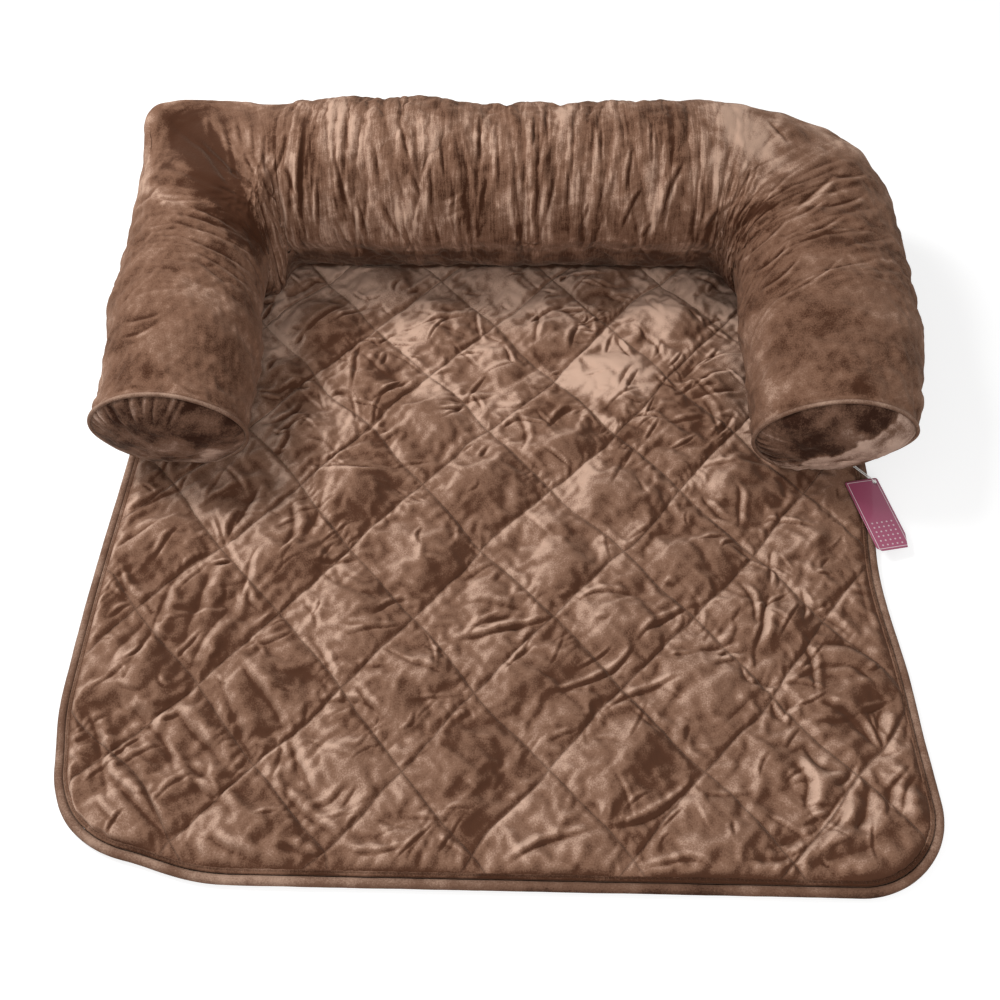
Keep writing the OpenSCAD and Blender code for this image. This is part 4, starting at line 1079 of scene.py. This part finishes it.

# Folds of the covers, read off the photograph in its own pixels: start, end, bow and width,
# then depth in millimetres
cover_crease_pixels = (
    (193, 128, 240, 198, 2, 2.6, 4.0), (240, 198, 273, 252, 1, 2.6, 4.0),
    (222, 118, 238, 190, -2, 2.2, 3.0), (240, 196, 288, 254, 3, 2.4, 3.5),
    (208, 112, 216, 150, 0, 2.2, 2.5), (243, 150, 261, 184, 1, 2.0, 3.0),
    (265, 128, 265, 180, 0, 2.4, 3.2), (287, 122, 268, 185, -5, 2.4, 3.5),
    (262, 192, 294, 246, 2, 2.6, 4.0), (247, 200, 260, 242, 0, 2.2, 3.0),
    (252, 120, 255, 160, 0, 2.2, 2.0), (236, 115, 243, 150, 0, 2.2, 2.2),
    (283, 158, 299, 205, 0, 2.2, 3.2), (306, 115, 301, 228, 2, 3.6, 5.0),
    (318, 172, 319, 240, 0, 2.0, 3.2), (333, 140, 352, 218, 2, 2.4, 3.2),
    (346, 108, 348, 158, 0, 3.2, 3.0), (355, 188, 371, 252, 0, 2.2, 3.5),
    (374, 138, 381, 196, 0, 3.2, 4.0), (381, 196, 404, 242, 2, 3.2, 4.0),
    (399, 116, 412, 170, 0, 2.4, 3.0), (412, 170, 422, 202, 0, 2.2, 3.2),
    (415, 115, 418, 176, 0, 3.4, 3.0), (431, 158, 432, 215, 0, 3.0, 3.8),
    (432, 215, 442, 250, 0, 2.2, 2.8), (441, 135, 445, 182, 0, 1.8, 2.4),
    (440, 203, 463, 190, 0, 2.4, 1.4), (441, 219, 470, 205, 0, 2.4, 1.4),
    (480, 108, 481, 175, 0, 2.2, 3.0), (497, 118, 500, 188, 0, 2.4, 3.0),
    (514, 165, 522, 246, 0, 3.2, 4.5), (536, 112, 533, 152, 0, 2.2, 2.6),
    (547, 108, 548, 152, 0, 2.4, 2.8), (540, 182, 534, 225, 0, 2.6, 4.0),
    (558, 152, 540, 236, -3, 2.6, 3.6), (570, 160, 567, 218, 0, 2.0, 2.6),
    (575, 112, 571, 198, 0, 2.2, 2.8), (595, 114, 590, 192, 0, 2.4, 3.0),
    (590, 200, 582, 234, 0, 2.0, 2.8), (602, 124, 601, 168, 0, 2.0, 2.4),
    (634, 142, 626, 200, 0, 2.2, 2.6), (646, 184, 621, 234, 2, 2.4, 3.6),
    (652, 115, 653, 168, 0, 2.0, 2.2), (687, 158, 662, 216, 2, 2.8, 4.0),
    (655, 220, 641, 240, 0, 2.2, 3.0), (737, 166, 727, 202, 0, 2.4, 3.2),
    (752, 165, 742, 200, 0, 1.8, 2.4), (741, 199, 698, 238, 3, 2.8, 4.4),
    (768, 205, 722, 248, 2, 2.4, 3.6), (733, 264, 790, 214, 3, 2.8, 4.4),
    (790, 214, 838, 172, 0, 3.0, 4.0), (745, 276, 792, 238, 4, 2.4, 3.6),
    (792, 238, 846, 214, 2, 2.2, 2.8), (752, 292, 802, 252, 5, 2.4, 3.2),
    (757, 302, 846, 252, 8, 2.0, 2.4), (826, 174, 872, 172, 3, 2.4, 3.4),
    (818, 208, 868, 194, 2, 2.6, 3.6), (780, 222, 828, 198, 2, 2.2, 2.8),
    (822, 130, 850, 142, 0, 2.4, 3.0), (765, 118, 791, 147, -2, 2.0, 2.6),
    (133, 212, 163, 183, -2, 2.2, 2.6), (170, 211, 252, 242, -4, 2.2, 3.2),
    (158, 219, 262, 262, -8, 2.2, 2.8), (165, 232, 260, 280, -7, 2.4, 3.2),
    (182, 246, 262, 298, -5, 2.4, 3.0), (180, 202, 250, 238, -3, 2.0, 2.6),
    (200, 262, 229, 286, 0, 2.2, 2.4), (118, 322, 166, 311, 2, 2.2, 2.4),
    (118, 339, 160, 321, 2, 2.2, 2.2), (150, 396, 178, 382, 2, 2.6, 2.2),
    (178, 382, 206, 396, 2, 2.4, 2.0), (175, 118, 188, 120, 0, 2.0, 2.4))
swells = 0.0040 * drift(along_u, angle * 0.0004, 0.30, 91, 2) + 0.0020 * drift(along_u, s_run, 0.12, 92, 2)
swells += 0.0055 * patch_at(-0.150, 95, 0.09, 50) + 0.0060 * patch_at(0.200, 85, 0.09, 55)
swells -= 0.0045 * patch_at(-0.020, 85, 0.05, 50) + 0.0030 * patch_at(0.085, 85, 0.04, 45)
swells -= 0.0040 * bell((angle - 205) / 28) * ease((leg - 1.6) / 0.4)
mitre = np.abs(leg - 1.5) * np.pi / 2 * mid_turn
left = side < 0
seam_pull = -0.0060 * bell(mitre / 0.0038) - 0.0050 * bell(mitre / 0.018)
seam_pull = np.where(left, seam_pull, 0.10 * seam_pull)
seam_pull = seam_pull * ease((turn_off - 0.35) / 0.4) * ease((angle - 66) / 26)
tip = 0.024 * left * bell((path - 1.5) / 0.11) * bell((angle - 48) / 20)
end_off = leg * arm_length
end_row = -0.0012 * bell((end_off - 0.0060) / 0.0030)
zip_sunk = 0.0012
zip_strip = ease((0.232 - np.abs(along_u)) / 0.018) * ease((angle - 306) / 8) * ease((352 - angle) / 8)
wide_form = (swells * ease(end_off / 0.03) + seam_pull + tip) * seated * (1 - zip_strip)
grid = grid + (wide_form - zip_sunk * zip_strip)[..., None] * outward(grid)
shown = slumped(grid)
pixels = seen(shown)
to_viewer = viewer_at - shown
turned_to = (outward(shown) * to_viewer).sum(-1) / np.linalg.norm(to_viewer, axis=-1)
in_view = ease(turned_to / 0.15)
placed = np.zeros(relief.shape)
for from_x, from_y, to_x, to_y, bow, width, depth in cover_crease_pixels:
    start, end = np.array([from_x, from_y]), np.array([to_x, to_y])
    fold_cloth(placed, pixels, start, end, bow, 1.15 * width, 0.72 * depth / 1000)
relief = fold_limit * np.tanh((relief + in_view * gain * placed) / fold_limit)
plain_slope = facing(grid, cover_lamp_side)
fine_form = (relief * ease(end_off / 0.02) + end_row) * seated * (1 - zip_strip)
grid = grid + fine_form[..., None] * outward(grid)
painted_lamp_light = np.clip(facing(grid, cover_lamp_side) - plain_slope, -0.6, 0.6)
grid[..., 2] = np.maximum(grid[..., 2], seat_level)
grid = slumped(grid)
hollow_shade = np.clip((relief - soften(relief, 14)) / 0.0016, -1, 1) * seated

# Where hands and packing brushed the pile light or dark: the plainest patches, read off the
# photograph in its own pixels, with start, end, reach and tone
brush_pixels = (
    (185, 125, 243, 228, 19, -0.80), (240, 200, 262, 245, 7, -0.36), (149, 120, 144, 190, 5, 0.28),
    (160, 200, 185, 208, 9, 0.24), (272, 118, 270, 150, 5, -0.28), (303, 120, 302, 215, 4, -0.40),
    (330, 110, 328, 235, 8, 0.28), (390, 140, 402, 215, 10, 0.30), (455, 150, 462, 225, 13, -0.30),
    (562, 112, 560, 133, 7, 0.36), (662, 110, 668, 155, 15, -0.36), (735, 118, 752, 142, 22, 0.75),
    (713, 150, 717, 200, 7, 0.42), (765, 155, 790, 163, 12, 0.30), (703, 245, 735, 235, 13, -0.42),
    (740, 218, 800, 190, 8, -0.38), (147, 380, 160, 390, 13, -0.24), (765, 365, 772, 415, 10, 0.27),
    (830, 383, 872, 387, 9, -0.24))
# The cover's tone: painted light on the folds' sides turned to the lamp, painted shade on those turned
# away and in the creases, then the brushed patches
nap_and_shade = 0.95 * painted_lamp_light + 0.42 * hollow_shade + 0.02
rough = 1 + 0.30 * drift(along_u, s_run, 0.030, 96)
for from_x, from_y, to_x, to_y, wide, tone in brush_pixels:
    start, run = np.array([from_x, from_y]), np.array([to_x - from_x, to_y - from_y])
    share = np.clip((pixels - start) @ run / (run @ run), 0, 1)
    off = np.linalg.norm(pixels - start - share[..., None] * run, axis=-1) * rough
    nap_and_shade += tone * in_view * bell(off / wide)
# Darker along the left mitre and at the arms' ends; painted light on the left arm's upper outer side, as
# lit from the left; lighter low on its inner side; painted shade on the covers' undersides, over the mat
nap_and_shade -= 0.30 * left * bell(mitre / 0.006)
nap_and_shade -= 0.08 * ease((-along_u - 0.40) / 0.05) + 0.12 * ease((along_u - 0.40) / 0.05)
nap_and_shade += 0.16 * (along_u < -0.42) * ease((48 - angle) / 20) * ease((angle + 5) / 20)
nap_and_shade += 0.14 * (along_u < -0.42) * ease((angle - 165) / 20)
nap_and_shade -= 0.42 * ease((angle - 197) / 12) * (angle < 280)
ragged = 0.20 * drift(along_u * 1.6, s_run * 0.5, 0.075, 94, 4)
ragged += 0.12 * drift(along_u, s_run * 0.7, 0.16, 95, 2)
calmer_end = 1 - 0.55 * ease((np.abs(along_u) - 0.42) / 0.06)
nap_and_shade += ragged * (1 - 0.6 * patch_at(0.305, 108, 0.05, 26)) * calmer_end
nap_and_shade = np.clip(nap_and_shade, -0.75, 0.80)
around = grid.shape[1] - 1
left_seam = 4 * (arm_steps + corner_steps // 2)
right_seam = left_seam + 4 * (back_steps + corner_steps)
covers = (("left_cover", "left_arm_cover", 0, left_seam),
          ("back_cover_plush", "back_cover", left_seam, right_seam),
          ("right_cover", "right_arm_cover", right_seam, grid.shape[0] - 1))
for name, node, low, high in covers:
    points = grid[low:high + 1, :-1].reshape(-1, 3)
    cover = make_piece(name, points, tube_faces(high + 1 - low, around), cover_plush, closed=False)
    pairs = np.stack([2.0 * along_u, 0.45 * s_run], -1)[low:high + 1]
    corners = np.stack([pairs[:-1, :-1], pairs[:-1, 1:], pairs[1:, 1:], pairs[1:, :-1]], 2)
    cover.data.uv_layers.new(name="combed").data.foreach_set("uv", np.ascontiguousarray(corners).ravel())
    set_share(cover, "nap_and_shade", nap_and_shade[low:high + 1, :-1])
    set_share(cover, "combing", 0.12 + 0.88 * ease((0.36 - np.abs(along_u[low:high + 1, :-1])) / 0.10))
    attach(cover, "bed")
    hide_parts(node)

# End caps: a plush disc closes each arm. It is gathered a little into its seam, and swells.

cap_tones = ((0.030, 0.011, 0.006), (0.150, 0.078, 0.050), (0.50, 0.34, 0.265))
cap_plush, tree, shader, nap = plush_finish("cap_plush", cap_tones, 0.45, 0.60, 0.12, 1.0)
raise_surface(tree, shader, nap.outputs["Height"], pile_relief)

rim_y = 0.0155
rim_inset = 0.0029
rim_lowest = 0.0055
cap_swell = 0.0230
cap_pleats = 15
cap_middle = 0.390
turn_at = np.linspace(0, 2 * np.pi, 241)[:-1]
ray = np.linspace(0.015, 1, 56)[:, None]
for side, name, seed in ((-1, "left_cap", 101), (1, "right_cap", 102)):
    rim = bolster_point(np.array(0.0 if side < 0 else 5.0), np.degrees(turn_at), rim_inset)
    rim[:, 2] = np.maximum(rim[:, 2], seat_level + rim_lowest)
    centre = np.array([side * cap_middle, rim_y, seat_level + pressed * arm_half])
    disc = centre + (rim - centre) * ray[..., None]
    chance = np.random.default_rng(seed)
    pleats = np.zeros(disc.shape[:2])
    low, high = (0.35, 2.0) if side < 0 else (2.7, 4.6)
    for at in np.linspace(low, high, cap_pleats):
        at = at + chance.normal(0, 0.05)
        width = chance.uniform(0.022, 0.045)
        inner = chance.uniform(0.50, 0.78)
        off = (turn_at - at + np.pi) % (2 * np.pi) - np.pi + 0.18 * (1 - ray)
        ridge = 0.8 * bell((off - 1.6 * width) / width)
        shape = ridge - np.exp(-((np.abs(off) / width) ** 1.3))
        pleats += chance.uniform(0.0012, 0.0028) * ease((ray - inner) / 0.25) * shape
    flat_x, flat_z = disc[..., 0] - centre[0], disc[..., 2] - centre[2]
    dents = 0.0026 * drift(flat_x, flat_z * 1.5, 0.09, seed + 5, 2)
    dents += 0.0008 * drift(flat_x, flat_z, 0.022, seed + 6)
    bow_line = flat_z + 0.030 - 3.0 * flat_x ** 2
    dents -= 0.0030 * np.exp(-np.abs(bow_line / 0.0035) ** 1.2) * ease((0.055 - np.abs(flat_x)) / 0.03)
    bulge = cap_swell * (1 - ray ** 3.0) + (pleats + dents) * ease((1 - ray) / 0.06)
    bulge -= 0.0015 * ease((ray - 0.96) / 0.04)
    disc[..., 1] = rim_y - bulge
    behind = centre + (rim - centre) * 0.97
    behind[:, 1] = rim_y + 0.006
    rings = slumped(np.concatenate([disc, behind[None]]))
    ragged = drift(flat_x, flat_z, 0.05, seed + 7, 4)
    if side < 0:
        upper_right = ease((flat_x + 0.02) / 0.06) * ease(flat_z / 0.04)
        shade = -0.26 + 0.22 * ease(-flat_z / 0.05 + 0.4 * ragged) - 0.25 * upper_right
    else:
        lower_right = ease((0.9 * flat_x - 1.0 * flat_z + 0.012 + 0.010 * ragged) / 0.012)
        shade = -0.34 + 0.72 * lower_right + 0.10 * ease((-flat_x - 0.05) / 0.02)
    # Painted light on the pleats' ridges and painted shade in their folds, over a cloudy tone
    shade = shade + np.clip(pleats / 0.0022, -1, 1) * 0.30 + 0.24 * ragged + 0.08
    shade = np.concatenate([shade, shade[-1:]])
    points, faces = loft(rings)
    cap = make_piece(name, points, faces, cap_plush)
    set_share(cap, "nap_and_shade", shade)
    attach(cap, "bed")
    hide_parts("left_end_cap" if side < 0 else "right_end_cap")

# Cap piping: a thinner plush-covered cord in the seam between each cap and its arm.

cap_cord_half = 0.0025
cap_cord_inset = 0.0008
cap_cord_behind = 0.0024
cap_cord_lowest = 0.0028
angle = 2 * np.pi * np.arange(12) / 12
for side, name in ((-1, "left_cap_cord"), (1, "right_cap_cord")):
    spine = bolster_point(np.array(0.0 if side < 0 else 5.0), np.degrees(turn_at), cap_cord_inset)
    spine[:, 1] = rim_y + cap_cord_behind
    spine[:, 2] = np.maximum(spine[:, 2], seat_level + cap_cord_lowest)
    spine = slumped(spine)
    tangent = np.roll(spine, -1, 0) - np.roll(spine, 1, 0)
    tangent /= np.linalg.norm(tangent, axis=1, keepdims=True)
    across = np.cross(tangent, [0, 1, 0])
    thick = cap_cord_half * (1 + 0.08 * drift(spine[:, :1], spine[:, 2:] + 0.02 * angle, 0.05, 111))
    round_way = np.cos(angle)[:, None] * across[:, None] + np.sin(angle)[:, None] * np.array([0, 1, 0])
    points, faces = loft(spine[:, None] + thick[..., None] * round_way, joined=True)
    cord = make_piece(name, points, faces, pipe_plush)
    # Painted light on the cord's upper side and painted shade on its lower side
    lit_side = 0.30 * np.maximum(np.cos(angle) * across[:, 2:] * np.sign(across[:1, 2:] + 1e-9), -0.6)
    clouds = 0.15 * drift(spine[:, :1], spine[:, 2:] + 0 * angle, 0.07, 112)
    set_share(cord, "nap_and_shade", 0.12 + lit_side + clouds)
    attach(cord, "bed")
    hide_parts("left_cap_piping" if side < 0 else "right_cap_piping")

# Zip: a brown moulded chain on woven tapes along the rear of the back bolster, with a small
# lacquered slider and pull. It opens the cover for washing.


def dress(nodes, finish):
    """Gives pieces carried over from the solids their material."""
    for node in nodes:
        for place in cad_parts[node].material_slots:
            place.material = finish


tape_threads = 9000.0
tape_dark = (0.032, 0.016, 0.010, 1)
tape_light = (0.062, 0.034, 0.022, 1)
zip_tape, tree, shader = new_finish("zip_tape")
cloth, tone, height = woven(tree, tape_threads, tape_dark, tape_light)
put(tree, shader, "Base Color", cloth)
put(tree, shader, "Roughness", reach(tree, tone, 0.3, 0.7, 0.9, 0.75))
raise_surface(tree, shader, height, 0.0002)

zip_teeth = clouded_finish("zip_teeth", (300.0, 3.0, 0.0), (0.10, 0.058, 0.036), (0.135, 0.082, 0.052),
                           0.38, 0.52, 0.00015)

lacquer = (0.26, 0.225, 0.19, 1)
worn_metal = (0.45, 0.41, 0.36, 1)
zip_metal, tree, shader = new_finish("zip_metal")
wear = noise(tree, object_place(tree), 700.0, 4.0, 0.7)[0]
put(tree, shader, "Base Color", blend_colours(tree, reach(tree, wear, 0.45, 0.7), lacquer, worn_metal))
put(tree, shader, "Roughness", reach(tree, wear, 0.3, 0.7, 0.28, 0.5))
put(tree, shader, "Metallic", reach(tree, wear, 0.2, 0.5, 0.8, 1.0))
raise_surface(tree, shader, wear, 0.0001)

dress(("zip_tape_upper", "zip_tape_lower"), zip_tape)
dress(("zip_teeth_upper", "zip_teeth_lower"), zip_teeth)
dress(("zip_stops", "zip_slider", "zip_pull"), zip_metal)

# Swing tag: a coated mauve card with a thin pale rule and plain dots, hung by a nylon loop
# that is caught in the seam under the right arm.

half_wide, half_long = 0.021, 0.0495
card_round = 0.003
hole_radius = 0.0025
dots_per_metre = 165.0
pale_ink = (0.72, 0.66, 0.67, 1)

tag_card, tree, shader = new_finish("tag_card")
flat_place = add(tree, "ShaderNodeUVMap", uv_map="card").outputs[0]
ways = map_ways(tree, "card")
past_side = sums(tree, "SUBTRACT", sums(tree, "ABSOLUTE", ways[0], 0.0), half_wide)
past_end = sums(tree, "SUBTRACT", sums(tree, "ABSOLUTE", ways[1], 0.0), half_long)
near_edge = sums(tree, "MAXIMUM", past_side, past_end)
outer_side = reach(tree, near_edge, -0.0025, -0.0023, 1.0, 0.0)
rule = sums(tree, "MULTIPLY", reach(tree, near_edge, -0.0031, -0.0029), outer_side)
spots = {"Vector": flat_place, "Scale": dots_per_metre, "Randomness": 0.0}
dots = add(tree, "ShaderNodeTexVoronoi", spots, voronoi_dimensions="2D").outputs["Distance"]
in_panel = reach(tree, near_edge, -0.0055, -0.0057)
in_panel = sums(tree, "MULTIPLY", reach(tree, ways[1], -0.008, -0.0084), in_panel)
dotted = sums(tree, "MULTIPLY", reach(tree, dots, 0.20, 0.16), in_panel)
fibre = noise(tree, flat_place, 900.0, 4.0)[0]
mauve = blend_colours(tree, fibre, (0.27, 0.050, 0.105, 1), (0.33, 0.068, 0.135, 1))
inked = sums(tree, "MAXIMUM", rule, sums(tree, "MULTIPLY", dotted, 0.6))
put(tree, shader, "Base Color", blend_colours(tree, inked, mauve, pale_ink))
put(tree, shader, "Roughness", reach(tree, fibre, 0.3, 0.7, 0.34, 0.46))
shader.inputs["Coat Weight"].default_value = 0.3
raise_surface(tree, shader, fibre, 0.00005)

tag_turn, tag_lean = math.radians(14), math.radians(5)
tag_seat = np.array([0.440, -0.0625, 0.0])
hole_at = np.array([0.016, 0.0445])


def on_card(points, level):
    """Points of the card's own plane set in place: turned, moved out and leant over the edge."""
    turned_x = 0.008 + points[..., 0] * math.cos(tag_turn) - points[..., 1] * math.sin(tag_turn)
    turned_y = points[..., 0] * math.sin(tag_turn) + points[..., 1] * math.cos(tag_turn)
    return np.stack([tag_seat[0] + turned_x * math.cos(tag_lean) + level * math.sin(tag_lean),
                     tag_seat[1] + turned_y,
                     tag_seat[2] + level * math.cos(tag_lean) - turned_x * math.sin(tag_lean)], -1)


place_of_hole = on_card(hole_at, 0.0004)
tag_seat[2] = 0.0141 - place_of_hole[2]
spin = np.linspace(0, 2 * np.pi, 97)[:-1]
c, s = np.cos(spin), np.sin(spin)
rays = np.stack([c, s], -1)
to_sides = (np.sign(rays) * (half_wide, half_long) - hole_at) / np.where(rays == 0, 1e-9, rays)
rim = hole_at + rays * np.abs(to_sides).min(1)[:, None]
inner = np.array([half_wide - card_round, half_long - card_round])
past = np.maximum(np.abs(rim) - inner, 0)
in_corner = (past > 0).all(1)[:, None]
scale = np.minimum(card_round / np.maximum(np.hypot(past[:, 0], past[:, 1]), 1e-9), 1)[:, None]
rim = np.where(in_corner, np.sign(rim) * (inner + past * scale), rim)
hole = hole_at + rays * hole_radius
steps = ((0.0, 0.0001), (0.0, 0.0007), (0.06, 0.0008), (0.5, 0.0008), (0.985, 0.0008),
         (1.0, 0.0007), (1.0, 0.0001), (0.985, 0.0), (0.5, 0.0), (0.06, 0.0))
flat_points = np.stack([hole + (rim - hole) * share for share, _ in steps], 1)
levels = np.array([level for _, level in steps])
rings = on_card(flat_points, levels[None, :])
points, faces = loft(rings, joined=True)
card = make_piece("tag_card", points, faces, tag_card)
set_map(card, "card", flat_points)
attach(card, "swing_tag")
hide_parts("swing_tag")

nylon = clouded_finish("nylon", (800.0, 2.0, 0.0), (0.70, 0.68, 0.65), (0.82, 0.80, 0.77), 0.22, 0.34, 0)
dress(("tag_loop",), nylon)

# Studio: a pale floor that keeps the shadow, a big soft lamp from the upper left and the rear,
# a weaker one from the front, and a white surround.

floor_paint, tree, shader = new_finish("floor_paint")
cloud = noise(tree, object_place(tree), 3.0)[0]
put(tree, shader, "Base Color", blend_colours(tree, cloud, (0.54, 0.54, 0.54, 1), (0.56, 0.56, 0.56, 1)))
shader.inputs["Roughness"].default_value = 0.9
shader.inputs["Specular IOR Level"].default_value = 0.0
camera_ray = add(tree, "ShaderNodeLightPath").outputs["Is Camera Ray"]
put(tree, shader, "Emission Color", blend_colours(tree, camera_ray, (0, 0, 0, 1), (0.62, 0.62, 0.62, 1)))
shader.inputs["Emission Strength"].default_value = 1.0
floor_half = 6.0
floor_grid = np.array([(-1, -1), (1, -1), (1, 1), (-1, 1)]) * floor_half
floor_grid = np.column_stack([floor_grid, np.full(4, -0.0004)])
floor = make_piece("floor", floor_grid, [[0, 1, 2, 3]], floor_paint, closed=False)

world = bpy.data.worlds.new("surround")
bpy.context.scene.world = world
world.use_nodes = True
tree = world.node_tree
sky = tree.nodes["Background"]
light = add(tree, "ShaderNodeLightPath").outputs
mirrored = sums(tree, "MAXIMUM", light["Is Glossy Ray"], light["Is Transmission Ray"])
shown = sums(tree, "MAXIMUM", light["Is Camera Ray"], mirrored)
tree.links.new(reach(tree, shown, 0, 1, 0.34, 1.0), sky.inputs["Strength"])
sky.inputs["Color"].default_value = (1, 1, 1, 1)


def lamp(name, place, aim, size, power):
    """A square soft lamp at a place, turned to what it lights."""
    light = bpy.data.lights.new(name, "AREA")
    light.size = size
    light.energy = power
    held = bpy.data.objects.new(name, light)
    held.location = place
    held.rotation_euler = (Vector(aim) - Vector(place)).to_track_quat("-Z", "Y").to_euler()
    bpy.context.scene.collection.objects.link(held)


lamp("key_lamp", (-1.4, 0.7, 1.8), (0, 0, 0.05), 0.8, 42)
lamp("fill_lamp", (0.4, -1.9, 1.5), (0, 0, 0.05), 1.4, 28)

camera = bpy.data.cameras.new("view")
camera.sensor_width = 36
camera.lens = camera.sensor_width * focal_pixels / 1000
viewer = bpy.data.objects.new("view", camera)
turned = Matrix(np.stack([view_right, -view_down, -view_ahead], 1).tolist())
viewer.matrix_world = Matrix.Translation(viewer_at.tolist()) @ turned.to_4x4()
bpy.context.scene.collection.objects.link(viewer)
bpy.context.scene.camera = viewer
bpy.context.scene.view_settings.view_transform = "Standard"
